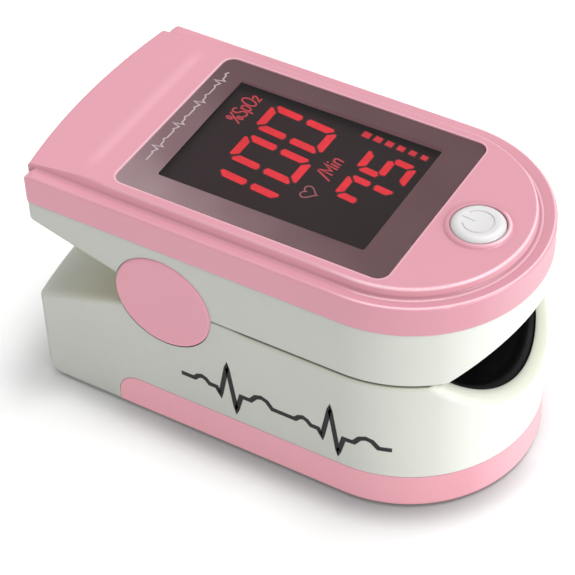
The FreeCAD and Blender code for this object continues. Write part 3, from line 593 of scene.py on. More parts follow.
# name, dark colour, light colour, grain scale, roughness range, bump depth where not the default
PLAIN = [
    ("chip_black", (26, 26, 28), (38, 38, 40), 5.0, (0.45, 0.65), 0.006),
    ("connector_cream", (214, 206, 184), (226, 219, 198), 2.0, (0.35, 0.5)),
    ("led_emitter", (214, 204, 180), (232, 224, 204), 1.5, (0.12, 0.25)),
    ("photodiode_dark", (28, 22, 34), (44, 34, 50), 1.5, (0.12, 0.25)),
    ("switch_grey", (74, 75, 78), (92, 93, 97), 3.0, (0.4, 0.55)),
    ("plunger_white", (206, 205, 200), (226, 225, 220), 3.0, (0.35, 0.5)),
    ("print_grey", (206, 192, 196), (218, 206, 210), 3.0, (0.45, 0.6), 0.002),
    ("button_icon", (204, 202, 204), (212, 209, 212), 3.0, (0.4, 0.55), 0.002),
    ("print_black", (30, 30, 32), (40, 40, 42), 3.0, (0.35, 0.5), 0.002),
]
for row in PLAIN:
    plain(*row)

circuit_board()
ribbon_film()
cell_wrap()

CAD_MATERIALS = {
    "lower_shell": "white_shell", "upper_shell": "white_shell",
    "top_cover": "pink_shell", "battery_door": "pink_door",
    "hinge_cap_left": "pink_cap", "hinge_cap_right": "pink_cap",
    "power_button": "white_button",
    "lower_finger_pad": "black_silicone", "upper_finger_pad": "black_silicone",
    "detector_window": "window_clear", "emitter_window": "window_clear",
    "display_lens": "tinted_lens", "led_display": "display_black",
    "main_board": "circuit_board", "detector_board": "circuit_board",
    "board_chips": "chip_black", "ribbon_connector": "connector_cream",
    "ribbon_cable": "ribbon_amber", "emitter_leds": "led_emitter",
    "photodiode": "photodiode_dark", "hinge_pin": "steel_pin",
    "torsion_springs": "spring_steel", "contact_springs": "spring_steel",
    "battery_contacts": "contact_nickel", "cover_screws": "screw_steel",
    "aaa_cells": "cell_wrap", "tact_switch": "switch_grey",
    "switch_plunger": "plunger_white",
}


def give(piece, material):
    piece.data.materials.clear()
    piece.data.materials.append(MATERIALS[material])


for name, piece in frame["nodes"].items():
    give(piece, CAD_MATERIALS[name])


# ---------------------------------------------------------------------------
# mesh helpers
# ---------------------------------------------------------------------------


@contextmanager
def editing(mesh):
    bm = bmesh.new()
    bm.from_mesh(mesh)
    yield bm
    bm.to_mesh(mesh)
    bm.free()


def add_object(name, mesh):
    piece = bpy.data.objects.new(name, mesh)
    scene.collection.objects.link(piece)
    return piece


def mesh_object(name, verts, faces, smooth=True):
    mesh = bpy.data.meshes.new(name)
    mesh.from_pydata([(x * MM, y * MM, z * MM) for x, y, z in verts], [], faces)
    mesh.validate()
    with editing(mesh) as bm:
        bmesh.ops.recalc_face_normals(bm, faces=bm.faces)
    mesh.polygons.foreach_set("use_smooth", [smooth] * len(mesh.polygons))
    mesh.update()
    return add_object(name, mesh)


def smooth_by_angle(piece, degrees):
    """Smooth shading with sharp edges above an angle."""
    limit = math.radians(degrees)
    with editing(piece.data) as bm:
        for edge in bm.edges:
            edge.smooth = len(edge.link_faces) == 2 and edge.calc_face_angle(0.0) < limit
        for face in bm.faces:
            face.smooth = True


def bridge(first, second):
    """Quads between two closed rings of vertex indices."""
    count = len(first)
    return [(first[i], first[(i + 1) % count], second[(i + 1) % count], second[i])
            for i in range(count)]


def slabs(name, pairs):
    """Closed plates in one mesh, each from two matching outlines."""
    verts, faces = [], []
    for near, far in pairs:
        count, base = len(near), len(verts)
        verts += near + far
        faces.append(tuple(range(base, base + count)))
        faces.append(tuple(reversed(range(base + count, base + 2 * count))))
        for i in range(count):
            after = (i + 1) % count
            faces.append((base + i, base + count + i, base + count + after, base + after))
    return mesh_object(name, verts, faces, smooth=False)


def tube(name, points, radius, sides=14):
    """Round wire along a list of points, with domed ends."""
    points = [Vector(point) for point in points]
    last = len(points) - 1
    dome = ((0.95, 0.30), (0.70, 0.72), (0.35, 0.94))     # (reach, size) as shares of the radius
    tangents = [(points[min(i + 1, last)] - points[max(i - 1, 0)]).normalized()
                for i in range(len(points))]
    across = tangents[0].orthogonal().normalized()
    rings, verts = [], []

    def ring(centre, size, tangent):
        other = tangent.cross(across)
        rings.append(range(len(verts), len(verts) + sides))
        for i in range(sides):
            angle = 2 * math.pi * i / sides
            verts.append(tuple(centre + across * (size * math.cos(angle))
                               + other * (size * math.sin(angle))))

    for i, (centre, tangent) in enumerate(zip(points, tangents)):
        across = (across - tangent * across.dot(tangent)).normalized()
        if i == 0:
            for reach, size in dome:
                ring(centre - tangent * (radius * reach * 0.5), radius * size, tangent)
        ring(centre, radius, tangent)
        if i == last:
            for reach, size in reversed(dome):
                ring(centre + tangent * (radius * reach * 0.5), radius * size, tangent)
    faces = []
    for first, second in zip(rings, rings[1:]):
        faces += bridge(first, second)
    faces.append(tuple(reversed(rings[0])))
    faces.append(tuple(rings[-1]))
    return mesh_object(name, verts, faces)


def fit(piece, material, rides_on):
    give(piece, material)
    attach(piece, rides_on)


# ---------------------------------------------------------------------------
# silicone finger pads
# ---------------------------------------------------------------------------


def ease_in_out(value):
    value = max(0.0, min(1.0, value))
    return value * value * (3 - 2 * value)


def bell(distance, width):
    return math.exp(-(distance / width) ** 2)


def finger_pad(name, r_face, r_back, arc_z, up, x_rear, r_front, z_limit):
    """A curved pad that lines one half of the tunnel. up=+1: arch overhead, -1: trough below."""
    hole_rear = SENSOR_X - HOLE_HALF_X
    hole_front = SENSOR_X + HOLE_HALF_X
    # rows along X: straight to the nose centre, then fanned out to the round front
    pitch = 0.75
    plain_rows = int((hole_rear - 1.4 - x_rear - 0.9) / pitch) + 1
    straight = sorted({
        x_rear, x_rear + 0.10, x_rear + 0.25, x_rear + 0.5, hole_rear, hole_front, NOSE_X,
        *[hole_rear - step for step in (0.12, 0.3, 0.6, 1.0)],
        *[hole_front + step for step in (0.12, 0.3)],
        *[x_rear + 0.9 + i * pitch for i in range(plain_rows)],
        *[hole_rear + i * 2 * HOLE_HALF_X / 8 for i in range(9)]})
    fan = [0.05, 0.12, 0.2, 0.3, 0.4, 0.5, 0.6, 0.7, 0.78, 0.85, 0.90, 0.935, 0.96, 0.975,
           0.988, 0.996, 1.0]
    # columns: angles round the section
    a_max = math.acos((z_limit - arc_z) / r_face * up)
    a_hole = math.asin(HOLE_HALF_Y / r_face)
    count = 15
    side = sorted({*[a_hole + (a_max - a_hole) * (i / count) for i in range(1, count + 1)],
                   a_max - 0.02, a_max - 0.045, a_hole + 0.012, a_hole + 0.03, a_hole + 0.06})
    middle = [-a_hole + 2 * a_hole * i / 8 for i in range(9)]
    angles = [-angle for angle in reversed(side)] + middle + side
    rows, columns = len(straight) + len(fan), len(angles)

    def face_radius(x, x_front, y, angle):
        """Radius of the finger side at one point."""
        radius = r_face
        to_front = x_front - x
        to_side = (a_max - abs(angle)) * r_face
        # rolled-over edges
        for distance, width in ((to_front, 0.40), (x - x_rear, 0.35), (to_side, 0.30)):
            if distance < width:
                share = 1 - distance / width
                radius += (1 - math.sqrt(max(0.0, 1 - share * share))) * width * 0.9
        # bead just behind the front edge
        radius -= 0.22 * bell(to_front - 0.85, 0.38)
        # frame round the sensor window
        to_hole = math.hypot(max(abs(x - SENSOR_X) - HOLE_HALF_X, 0.0),
                             max(abs(y) - HOLE_HALF_Y, 0.0))
        radius -= 0.16 * bell(to_hole - 0.45, 0.30)
        # three shallow channels across the rear half
        for channel_x in (-1.6, 0.6, 2.8):
            radius += 0.10 * bell(x - channel_x, 0.28) * ease_in_out((a_max - abs(angle)) / 0.35)
        return radius

    verts = []
    for i in range(rows):
        for angle in angles:
            y = r_face * math.sin(angle)
            x_front = NOSE_X + math.sqrt(r_front ** 2 - y * y)
            if i < len(straight):
                x = straight[i]
            else:
                x = NOSE_X + fan[i - len(straight)] * (x_front - NOSE_X)
            face = min(face_radius(x, x_front, y, angle), r_back - 0.05)
            for radius in (face, r_back):
                verts.append((x, radius * math.sin(angle), arc_z + up * radius * math.cos(angle)))

    def face_at(i, j):
        return 2 * (i * columns + j)

    def back_at(i, j):
        return face_at(i, j) + 1

    def in_hole(i, j):
        if i + 1 >= len(straight):
            return False
        x = (straight[i] + straight[i + 1]) / 2
        angle = (angles[j] + angles[j + 1]) / 2
        return abs(x - SENSOR_X) < HOLE_HALF_X and abs(angle) < a_hole

    cells = [(i, j) for i in range(rows - 1) for j in range(columns - 1) if not in_hole(i, j)]
    solid = set(cells)
    faces = []
    for i, j in cells:
        corners = [(i, j), (i + 1, j), (i + 1, j + 1), (i, j + 1)]
        faces.append(tuple(face_at(*corner) for corner in corners))
        faces.append(tuple(back_at(*corners[k]) for k in (0, 3, 2, 1)))
        # a wall wherever the neighbouring cell is missing
        for neighbour, start, end in (((i - 1, j), 0, 3), ((i + 1, j), 1, 2),
                                      ((i, j - 1), 0, 1), ((i, j + 1), 3, 2)):
            if neighbour not in solid:
                start, end = corners[start], corners[end]
                faces.append((face_at(*start), face_at(*end), back_at(*end), back_at(*start)))
    pad = mesh_object(name, verts, faces)
    # drop the points inside the window opening
    with editing(pad.data) as bm:
        loose = [vert for vert in bm.verts if not vert.link_faces]
        bmesh.ops.delete(bm, geom=loose, context="VERTS")
    smooth_by_angle(pad, 50)
    give(pad, "black_silicone")
    return pad


# half, face radius, back radius, axis height, up, radius of the front edge
PADS = [
    ("lower", 12.12, 13.12, LOWER_ARC_Z, -1, 13.92),
    ("upper", 16.02, 16.97, UPPER_ARC_Z, 1, 13.80),
]
for half, r_face, r_back, arc_z, up, r_front in PADS:
    cad_pad = half + "_finger_pad"
    low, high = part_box(cad_pad)
    open_side = low if up > 0 else high
    pad = finger_pad("silicone_pad_" + half, r_face, r_back, arc_z, up, low.x / MM + 0.02,
                     r_front, open_side.z / MM + up * 0.05)
    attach(pad, half + "_body")
    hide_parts(cad_pad)

# ---------------------------------------------------------------------------
# torsion springs and ribbon cable: both run between the two halves
# ---------------------------------------------------------------------------
COIL_RADIUS = 2.25
COIL_START_Y = 5.9
COIL_END_Y = 10.3
COIL_TURNS = 5.0
WIRE_RADIUS = 0.345
LOWER_LEG_Z = (13.2, 14.2, 15.4, 16.6, 17.8, 18.6)
UPPER_LEG_Z = (19.9, 20.8, 21.8, 23.0, 24.3)


def torsion_spring(side, sign):
    leg_x = HINGE_X - COIL_RADIUS
    points = [(leg_x, sign * COIL_START_Y, z) for z in LOWER_LEG_Z]
    steps = int(COIL_TURNS * 28)
    for i in range(steps + 1):
        share = i / steps
        angle = math.pi - 2 * math.pi * COIL_TURNS * share
        points.append((HINGE_X + COIL_RADIUS * math.cos(angle),
                       sign * (COIL_START_Y + (COIL_END_Y - COIL_START_Y) * share),
                       HINGE_Z + COIL_RADIUS * math.sin(angle)))
    points += [(leg_x, sign * COIL_END_Y, z) for z in UPPER_LEG_Z]
    spring = tube("torsion_spring_" + side, points, WIRE_RADIUS)
    give(spring, "spring_steel")
    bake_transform(spring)
    return spring


left_spring = torsion_spring("left", 1)
torsion_spring("right", -1)
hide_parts("torsion_springs")


def ribbon_cable():
    """Flat film: back along the board, round a bend, then up behind the hinge axis."""
    half_width, half_thickness = 1.38, 0.07
    bend_x, bend_z, bend_radius = -9.7, 13.65, 3.0
    rise_x = HINGE_X - 3.25
    path = [(3.6 - 0.95 * i, bend_z - bend_radius) for i in range(15)]
    for i in range(1, 13):
        angle = math.radians(270 - 7.5 * i)
        path.append((bend_x + bend_radius * math.cos(angle),
                     bend_z + bend_radius * math.sin(angle)))
    path += [(rise_x, 14.1 + 0.45 * i) for i in range(26)]
    path.append((rise_x, 25.72))
    verts, faces = [], []
    for i, (x, z) in enumerate(path):
        before = path[max(i - 1, 0)]
        after = path[min(i + 1, len(path) - 1)]
        run, rise = after[0] - before[0], after[1] - before[1]
        span = math.hypot(run, rise)
        off_x, off_z = -rise / span * half_thickness, run / span * half_thickness
        for y, sign in ((-half_width, 1), (half_width, 1), (half_width, -1), (-half_width, -1)):
            verts.append((x + off_x * sign, y, z + off_z * sign))
    rings = [range(i * 4, i * 4 + 4) for i in range(len(path))]
    for first, second in zip(rings, rings[1:]):
        faces += bridge(first, second)
    faces.append(tuple(rings[0]))
    faces.append(tuple(reversed(rings[-1])))
    ribbon = mesh_object("ribbon_film", verts, faces)
    smooth_by_angle(ribbon, 40)
    give(ribbon, "ribbon_amber")
    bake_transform(ribbon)
    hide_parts("ribbon_cable")


ribbon_cable()

# ---------------------------------------------------------------------------
# display: printed border under the lens, LED digits, legends
# ---------------------------------------------------------------------------
lens_lo, lens_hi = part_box("display_lens")
LENS_BACK_Z = lens_lo.z / MM
PRINT_Z = lens_hi.z / MM - 0.045
FACE_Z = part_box("led_display")[1].z / MM
MARK_Z = FACE_Z + 0.02
# corners (x, y) of the clear part of the lens
CLEAR_CORNERS = [(-13.25, -8.98), (12.15, -8.90), (12.00, 9.46), (-13.62, 9.22)]


def rounded_quad(corners, radius, steps=8):
    """Outline of a four-sided shape (counter-clockwise) with rounded corners."""
    outline = []
    for i in range(4):
        before, corner, after = [Vector(corners[k]) for k in (i - 1, i, (i + 1) % 4)]
        start = corner + (before - corner).normalized() * radius
        end = corner + (after - corner).normalized() * radius
        for j in range(steps + 1):
            t = j / steps
            outline.append((1 - t) ** 2 * start + 2 * t * (1 - t) * corner + t * t * end)
    return outline


def lens_border():
    """A frame with a skirt down the outside."""
    overhang = 0.05
    x0, x1 = lens_lo.x / MM - overhang, lens_hi.x / MM + overhang
    y0, y1 = lens_lo.y / MM - overhang, lens_hi.y / MM + overhang
    outer = rounded_quad([(x0, y0), (x1, y0), (x1, y1), (x0, y1)], 1.42)
    inner = rounded_quad(CLEAR_CORNERS, 0.35)
    skirt_inside = [(x * 0.996, y * 0.994) for x, y in outer]
    bottom, under = LENS_BACK_Z + 0.03, PRINT_Z - 0.02
    loops = [(inner, PRINT_Z), (outer, PRINT_Z), (outer, bottom),
             (skirt_inside, bottom), (skirt_inside, under), (inner, under)]
    verts = [(x, y, z) for outline, z in loops for x, y in outline]
    count = len(outer)
    rings = [range(i * count, (i + 1) * count) for i in range(len(loops))]
    faces = []
    for first, second in zip(rings, rings[1:] + rings[:1]):
        faces += bridge(first, second)
    border = mesh_object("lens_border", verts, faces, smooth=False)
    fit(border, "lens_border_print", "upper_body")


def flat_marks(name, outlines, z_low, z_high, material):
    """Flat (x, y) outlines as thin closed plates in one piece."""
    marks = slabs(name, [([(x, y, z_low) for x, y in outline],
                          [(x, y, z_high) for x, y in outline]) for outline in outlines])
    fit(marks, material, "upper_body")


lens_border()

SLANT = -math.tan(math.radians(5.5))      # shift along Y per height of a digit
# half height and half width reach to the bar centre lines
BIG = dict(half_h=3.97, half_w=1.83, thick=0.98, gap=0.32, tip=0.35)
SMALL = dict(half_h=2.63, half_w=1.53, thick=0.88, gap=0.26, tip=0.28)
# bars lit, centre x, centre y
BIG_DIGITS = [("bc", -4.40, -6.50), ("abcdef", -4.46, 0.02), ("abcdef", -4.50, 5.79)]
SMALL_DIGITS = [("abcf", 7.43, -0.05), ("afgcd", 7.43, 4.78)]


def bar(kind, centre_x, centre_y, half_h, half_w, thick, gap, tip):
    """One bar of a seven-segment digit, named a to g as usual."""
    half = thick / 2
    if kind in "adg":
        reach = half_w - gap
        level = {"a": half_h, "d": -half_h, "g": 0.0}[kind]
        # the right-hand end, from its upper to its lower corner
        if kind == "g":
            end = [(reach - half * 0.5, half), (reach + half * 0.1, 0.0),
                   (reach - half * 0.5, -half)]
        else:
            flip = 1 if kind == "a" else -1
            end = [(reach + tip * 0.2, flip * half), (reach + tip * 0.5, flip * half * 0.4),
                   (reach - half * 0.9, -flip * half)][::flip]
        left = [(-u, v) for u, v in end]
        points = [(u, level + v) for u, v in [left[0], *end, left[2], left[1]]]
    else:
        side = 1 if kind in "bc" else -1
        flip = 1 if kind in "bf" else -1
        # (outwards in half thicknesses, height above the middle)
        profile = [(1, half_h - gap + tip * 0.15), (0.3, half_h - gap + tip * 0.55),
                   (-1, half_h - gap - half * 0.9), (-1, gap + half * 0.55),
                   (0, gap), (1, gap + half * 0.45)]
        points = [(side * (half_w + out * half), flip * v) for out, v in profile]
    return [(centre_x - v, centre_y + u - SLANT * v) for u, v in points]


def digits(placed, size):
    return [bar(kind, x, y, **size) for bars, x, y in placed for kind in bars]


def grow(outline, distance):
    """Moves every corner away from the middle."""
    centre_x = sum(x for x, y in outline) / len(outline)
    centre_y = sum(y for x, y in outline) / len(outline)
    grown = []
    for x, y in outline:
        reach = math.hypot(x - centre_x, y - centre_y)
        gain = (reach + distance) / reach
        grown.append((centre_x + (x - centre_x) * gain, centre_y + (y - centre_y) * gain))
    return grown


def level_dots():
    """A row of six small blocks that shrink towards +X."""
    dots = []
    for i in range(6):
        half = 0.50 - 0.022 * i
        x, y = 2.81 + 1.482 * i, 8.68 - 0.085 * i
        dots.append([(x - half, y - half * 0.85 + 0.06), (x + half * 0.95, y - half * 0.95),
                     (x + half, y + half * 0.80), (x - half * 0.90, y + half * 0.95 + 0.05)])
    return dots


big, small, dots = digits(BIG_DIGITS, BIG), digits(SMALL_DIGITS, SMALL), level_dots()
flat_marks("digits_large", big, MARK_Z, MARK_Z + 0.03, "led_lit")
flat_marks("digits_small", small, MARK_Z, MARK_Z + 0.03, "led_lit")
flat_marks("pulse_bar_dots", dots, MARK_Z, MARK_Z + 0.03, "led_lit_dots")
halos = [grow(outline, 0.17) for outline in big + small + dots]
flat_marks("digit_glow", halos, FACE_Z + 0.004, FACE_Z + 0.012, "led_glow")


def stroke(line, width, closed=False):
    """Quads for a drawn line, mitred at its joints."""
    points = [Vector(point) for point in line]
    count = len(points)
    left, right = [], []
    for i, point in enumerate(points):
        arrive = leave = None
        if i > 0 or closed:
            arrive = (point - points[i - 1]).normalized()
        if i < count - 1 or closed:
            leave = (points[(i + 1) % count] - point).normalized()
        arrive = arrive or leave
        leave = leave or arrive
        along = (arrive + leave).normalized()
        mitre = 1.0 / max(0.45, along.dot(leave))
        offset = Vector((-along.y, along.x)) * (width / 2 * mitre)
        left.append(point + offset)
        right.append(point - offset)
    return [(left[i], left[(i + 1) % count], right[(i + 1) % count], right[i])
            for i in range(count if closed else count - 1)]


# character: advance, drawn lines (right, up), ovals (centre right, centre up, radii)
GLYPHS = {
    "%": (0.72, [[(0.0, 0.0), (0.62, 1.0)]],
          [(0.12, 0.78, 0.11, 0.19), (0.52, 0.22, 0.11, 0.19)]),
    "S": (0.62, [[(0.50, 0.84), (0.40, 0.97), (0.22, 1.0), (0.07, 0.90), (0.06, 0.70),
                  (0.20, 0.55), (0.40, 0.45), (0.52, 0.30), (0.50, 0.10), (0.34, 0.0),
                  (0.15, 0.02), (0.04, 0.16)]], []),
    "p": (0.56, [[(0.06, -0.26), (0.06, 0.68)]], [(0.26, 0.36, 0.20, 0.33)]),
    "O": (0.76, [], [(0.34, 0.50, 0.30, 0.50)]),
    "2": (0.46, [[(0.03, 0.42), (0.12, 0.54), (0.28, 0.54), (0.34, 0.40), (0.24, 0.24),
                  (0.02, 0.0), (0.37, 0.0)]], []),
    "/": (0.50, [[(0.0, -0.10), (0.40, 1.08)]], []),
    "M": (0.82, [[(0.04, 0.0), (0.04, 1.0), (0.34, 0.25), (0.64, 1.0), (0.64, 0.0)]], []),
    "i": (0.24, [[(0.05, 0.0), (0.05, 0.66)], [(0.05, 0.84), (0.05, 0.98)]], []),
    "n": (0.56, [[(0.05, 0.0), (0.05, 0.66)],
                 [(0.05, 0.46), (0.16, 0.62), (0.32, 0.66), (0.42, 0.54), (0.42, 0.0)]], []),
}


def oval(centre_u, centre_v, radius_u, radius_v):
    angles = [2 * math.pi * i / 16 for i in range(16)]
    return [(centre_u + radius_u * math.cos(angle), centre_v + radius_v * math.sin(angle))
            for angle in angles]


def legend(text, x_base, y_start, height, width, stretch):
    """Strokes of a unit mark: reads along +Y with its top towards -X."""
    quads, cursor = [], 0.0
    for character in text:
        advance, lines, ovals = GLYPHS[character]
        shapes = [(line, False) for line in lines] + [(oval(*row), True) for row in ovals]
        for line, closed in shapes:
            points = [(x_base - v * height,
                       y_start + (cursor + u * stretch) * height - SLANT * (v * height) * 1.6)
                      for u, v in line]
            quads += stroke(points, width, closed)
        cursor += advance * stretch
    return quads


def heart(centre_x, centre_y, size):
    """Outline of a heart; its top points to -X."""
    outline = []
    for i in range(36):
        t = 2 * math.pi * i / 36
        u = 16 * math.sin(t) ** 3
        v = 13 * math.cos(t) - 5 * math.cos(2 * t) - 2 * math.cos(3 * t) - math.cos(4 * t)
        outline.append((centre_x - v * size / 16, centre_y + u * size / 16))
    return outline


percent = legend("%SpO2", x_base=-10.62, y_start=3.62, height=1.95, width=0.21, stretch=0.84)
flat_marks("legend_percent", percent, MARK_Z, MARK_Z + 0.02, "led_legend")
rate = legend("/Min", x_base=2.86, y_start=-0.02, height=1.72, width=0.22, stretch=1.02)
flat_marks("legend_rate", rate, MARK_Z, MARK_Z + 0.02, "led_legend")
heart_line = stroke(heart(1.98, -2.72, size=0.98), 0.17, closed=True)
flat_marks("pulse_heart", heart_line, MARK_Z, MARK_Z + 0.02, "led_legend_dim")

# one beat of the pulse line printed on the border at -X: (along +Y, towards -X)
BORDER_BEAT = [(0.0, 0.0), (1.3, 0.0), (1.55, 0.22), (1.85, 0.0), (2.15, -0.14), (2.45, 0.78),
               (2.75, -0.42), (3.0, 0.0), (3.6, 0.0), (3.95, 0.26)]
BORDER_PITCH = 4.35
BORDER_BEATS = 4
BORDER_X, BORDER_Y = -15.62, -7.6

wave = [(BORDER_X - height, BORDER_Y + beat * BORDER_PITCH + along)
        for beat in range(BORDER_BEATS) for along, height in BORDER_BEAT]
wave.append((BORDER_X, BORDER_Y + BORDER_BEATS * BORDER_PITCH))
flat_marks("border_pulse_line", stroke(wave, 0.19), PRINT_Z + 0.006, PRINT_Z + 0.012,
           "print_grey")


# ---------------------------------------------------------------------------
# the pads' closed ends at the back of the finger tunnel
# ---------------------------------------------------------------------------


def pad_end(half, arc_z, radius, z_flat, sign):
    """A soft cushion with a rounded rim that fills one half of the tunnel's end."""
    y_max = math.sqrt(radius * radius - (z_flat - arc_z) ** 2) - 0.08
    steps_y, steps_z = 44, 16
    front_x, back_x = -4.24, -4.38
    rim, rim_width = 0.42, 0.7
    verts = []
    for is_back in (False, True):
        for j in range(steps_y + 1):
            y = -y_max * math.cos(math.pi * j / steps_y)
            z_arc = arc_z + sign * math.sqrt(radius * radius - y * y)
            for i in range(steps_z + 1):
                z = z_flat + (z_arc - z_flat) * (0.5 - 0.5 * math.cos(math.pi * i / steps_z))
                if is_back:
                    verts.append((back_x, y, z))
                    continue
                to_edge = max(0.0, min(radius - math.hypot(y, z - arc_z), abs(z - z_flat),
                                       (y_max - abs(y)) * 0.6))
                share = 1 - min(to_edge / rim_width, 1.0)
                bead = 0.09 * bell(to_edge - 1.5, 0.35)
                hollow = 0.10 * bell(y, 5.0)
                verts.append((front_x + rim * math.sqrt(1 - share * share) + bead - hollow, y, z))
    stride = steps_z + 1
    back = (steps_y + 1) * stride
    faces = []
    for j in range(steps_y):
        for i in range(steps_z):
            a = j * stride + i
            b = a + stride
            faces.append((a, b, b + 1, a + 1))
            faces.append((back + a + 1, back + b + 1, back + b, back + a))

    def wall(start, end):
        return start, back + start, back + end, end

    for j in range(steps_y):
        a = j * stride
        faces.append(wall(a, a + stride))
        faces.append(wall(a + stride + steps_z, a + steps_z))
    for i in range(steps_z):
        a = steps_y * stride + i
        faces.append(wall(i, i + 1))
        faces.append(wall(a, a + 1))
    cushion = mesh_object("silicone_end_" + half, verts, faces)
    fit(cushion, "black_silicone", half + "_body")


pad_end("lower", LOWER_ARC_Z, radius=12.02, z_flat=19.14, sign=-1)
pad_end("upper", UPPER_ARC_Z, radius=15.92, z_flat=19.56, sign=1)

# ---------------------------------------------------------------------------
# a plain pulse line printed along the near side of the lower half
# ---------------------------------------------------------------------------
# one beat: (along X, height)
SIDE_BEAT = [(0.0, 0.0), (1.7, 0.0), (2.2, 0.55), (2.7, 0.75), (3.2, 0.55), (3.7, 0.0),
             (4.6, 0.0), (5.1, -0.95), (6.1, 4.0), (7.1, -2.6), (7.8, 0.0), (9.0, 0.0),
             (9.7, 0.9), (10.4, 1.15), (11.1, 0.9), (11.8, 0.0)]
SIDE_BEAT_STARTS = (-7.6, 5.4)
SIDE_LINE_END = 18.6
SIDE_LINE_Z = 9.3


def wall_point(x, z, out):
    """A point on the near wall, or off it by `out`."""
    radius = WALL_RADIUS + out
    if x <= NOSE_X:
        return x, -radius, z
    return x, -math.sqrt(radius ** 2 - (x - NOSE_X) ** 2), z


def side_pulse_line():
    line = [(start + x, SIDE_LINE_Z + z) for start in SIDE_BEAT_STARTS for x, z in SIDE_BEAT]
    line.append((SIDE_LINE_END, SIDE_LINE_Z))
    # short steps, so that the print follows the curved wall
    fine = [line[0]]
    for (x0, z0), (x1, z1) in zip(line, line[1:]):
        steps = max(1, int(math.hypot(x1 - x0, z1 - z0) / 0.35))
        fine += [(x0 + (x1 - x0) * i / steps, z0 + (z1 - z0) * i / steps)
                 for i in range(1, steps + 1)]
    pairs = [tuple([wall_point(x, z, out) for x, z in quad] for out in (0.018, -0.03))
             for quad in stroke(fine, 0.60)]
    fit(slabs("side_pulse_line", pairs), "print_black", "lower_body")


side_pulse_line()

# ---------------------------------------------------------------------------
# power symbol on the button
# ---------------------------------------------------------------------------
button_lo, button_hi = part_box("power_button")
BUTTON_X = (button_lo.x + button_hi.x) / 2 / MM
BUTTON_Z = button_hi.z / MM - 0.12


def button_mark(name, path):
    """A fine bead over the dished top; the path is (x, y) from the button's middle."""
    points = [(BUTTON_X + x, y, BUTTON_Z + math.hypot(x, y) ** 2 / 34.0 - 0.045)
              for x, y in path]
    fit(tube(name, points, radius=0.10, sides=10), "button_icon", "power_button")


RING_RADIUS = 1.72
ring_angles = [math.radians(-148 + 296 * i / 40) for i in range(41)]
button_mark("power_symbol_ring", [(RING_RADIUS * math.cos(angle), RING_RADIUS * math.sin(angle))
                                  for angle in ring_angles])
button_mark("power_symbol_bar", [(-1.90, 0), (-1.4, 0), (-0.9, 0), (-0.50, 0)])

# ---------------------------------------------------------------------------
# studio
# ---------------------------------------------------------------------------
FLOOR_LIFT = 0.12           # light the floor shows of its own
WORLD_LIGHT = 0.40          # world brightness for lighting
WORLD_SEEN = 0.98           # world brightness in view
FOOT_REAR_X = -28.4         # rear end of the foot on the middle line


def floor_material():
    """White paper with a close, soft contact shadow, deepest along the near side."""
    mat = Graph("floor")
    cloud = mat.noise(scale=0.02, detail=2.0)
    x, y, z = mat.xyz()
    radius = nose_radius(x, y).at_least(0.001)
    outside = (radius - WALL_RADIUS).at_least(0.0)
    # the foot's rear edge curves forward to the sides
    bow = (y * y).at_most(237.0) * 0.0055
    behind = ((bow + FOOT_REAR_X) - x).at_least(0.0)
    distance = length(behind, outside)
    at_rear = x.ease(-22.0, -27.2)
    near_side = ((y * -1.0) / radius).at_least(0.0001)
    along = x.span(-28.0, -7.0, to=(0.15, 0.50)) * x.span(4.0, 13.0, to=(1.0, 0.72))
    depth = (near_side ** 0.6).times_add(along, 0.12)
    depth = depth * (1.0 - at_rear) + at_rear * 0.33
    # weaker under the body, except at the rear
    depth = depth * radius.span(14.0, 15.3, to=(0.25, 1.0)).at_least(x.ease(-20.0, -24.0))
    # bell-shaped fall-off with distance; 0.3679 is 1/e
    reach = at_rear.times_add(2.5, 2.5)
    share = distance / reach
    falloff = 0.3679 ** (share * share)
    # painted light: the floor along the near side is lifted a little
    lift = (x.span(14.0, 4.0, to=(0.0, 0.15)) * x.span(-28.0, -12.0)) * near_side
    shadow = (1.0 + lift) - depth * falloff

    camera_ray = mat.camera_ray()
    tone = mat.node("CombineColor", {i: shadow * 0.965 for i in range(3)})
    paper = mat.two_tone(cloud, (0.99, 0.99, 0.99, 1), WHITE_LIGHT)
    seen = mat.mix(0.5, tone, mat.mix(1.0, tone, paper, "MULTIPLY"))
    color = mat.mix(camera_ray, (0.62, 0.62, 0.62, 1), seen)
    # away from the object the paper runs out to plain white
    away = length(x, y).ease(90.0, 420.0, to=(0.0, 0.95))
    glow = mat.node("Emission", {0: WHITE_LIGHT, 1: camera_ray * (shadow * FLOOR_LIFT + away)})
    mat.finish(mat.node("AddShader", {0: mat.node("BsdfDiffuse", {0: color}), 1: glow}))


def make_floor():
    mesh = bpy.data.meshes.new("floor")
    with editing(mesh) as bm:
        bmesh.ops.create_grid(bm, x_segments=2, y_segments=2, size=1.6)
    floor = add_object("floor", mesh)
    floor.location = (0, 0, -0.00003)
    floor_material()
    give(floor, "floor")
    return floor


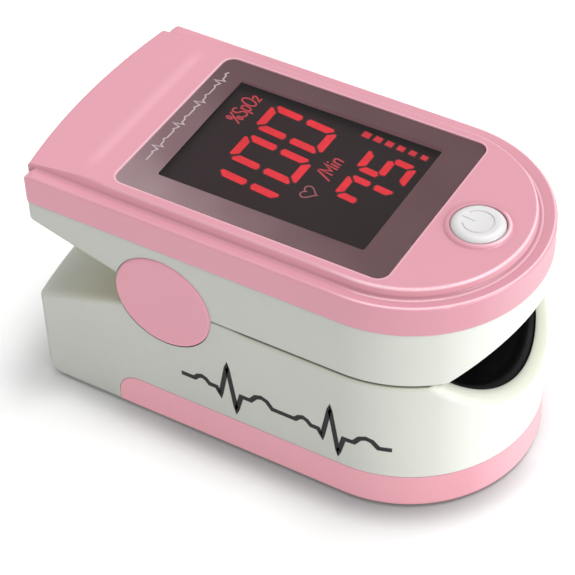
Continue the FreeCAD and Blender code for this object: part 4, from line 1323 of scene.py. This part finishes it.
def make_world():
    world = bpy.data.worlds.new("studio")
    scene.world = world
    world.use_nodes = True
    tree = world.node_tree
    background = tree.nodes["Background"]
    background.inputs[0].default_value = WHITE_LIGHT
    light_path = tree.nodes.new("ShaderNodeLightPath")
    level = tree.nodes.new("ShaderNodeMapRange")
    tree.links.new(light_path.outputs["Is Camera Ray"], level.inputs[0])
    level.inputs[3].default_value = WORLD_LIGHT
    level.inputs[4].default_value = WORLD_SEEN
    tree.links.new(level.outputs[0], background.inputs[1])


def area_light(name, place, target, size, level):
    """Metres; level is the brightness it adds to a white card facing it at the object."""
    light = bpy.data.lights.new(name, "AREA")
    light.shape = "RECTANGLE"
    light.size, light.size_y = size
    aim = Vector(target) - Vector(place)
    light.energy = level * math.pi ** 2 * aim.length_squared
    lamp = add_object(name, light)
    lamp.location = place
    lamp.rotation_euler = aim.to_track_quat("-Z", "Y").to_euler()
    return lamp


def limit_light(lamp, piece):
    """Gives a lamp its own receiver collection that holds one piece."""
    receivers = bpy.data.collections.new(lamp.name + "_receivers")
    lamp.light_linking.receiver_collection = receivers
    receivers.objects.link(piece)
    return receivers


def make_camera():
    camera = bpy.data.cameras.new("camera")
    camera.sensor_width = 36.0
    camera.lens = 137.56
    camera.clip_start = 0.01
    holder = add_object("camera", camera)
    # columns: right, up, backwards, place in metres
    holder.matrix_world = Matrix((
        (0.86319795, -0.33316765, 0.37932653, 0.09299520971),
        (0.50425245, 0.60596313, -0.61525455, -0.15535202762),
        (-0.02487498, 0.7223628, 0.69106673, 0.18625323318),
        (0, 0, 0, 1)))
    scene.camera = holder


floor = make_floor()
make_world()
area_light("key_top", place=(0.12, 0.17, 0.62), target=(0, 0, 0.015), size=(0.56, 0.60),
           level=0.66)
front_fill = area_light("front_fill", place=(0.62, -0.06, 0.19), target=(0, 0, 0.015),
                        size=(0.40, 0.30), level=0.57)
# the front fill lights everything but the floor
spared = limit_light(front_fill, floor)
spared.collection_objects[0].light_linking.link_state = "EXCLUDE"
floor_wash = area_light("floor_wash", place=(0.05, 0.05, 0.90), target=(0, 0, 0),
                        size=(0.9, 0.9), level=0.42)
limit_light(floor_wash, floor)
make_camera()
scene.view_settings.view_transform = "Standard"
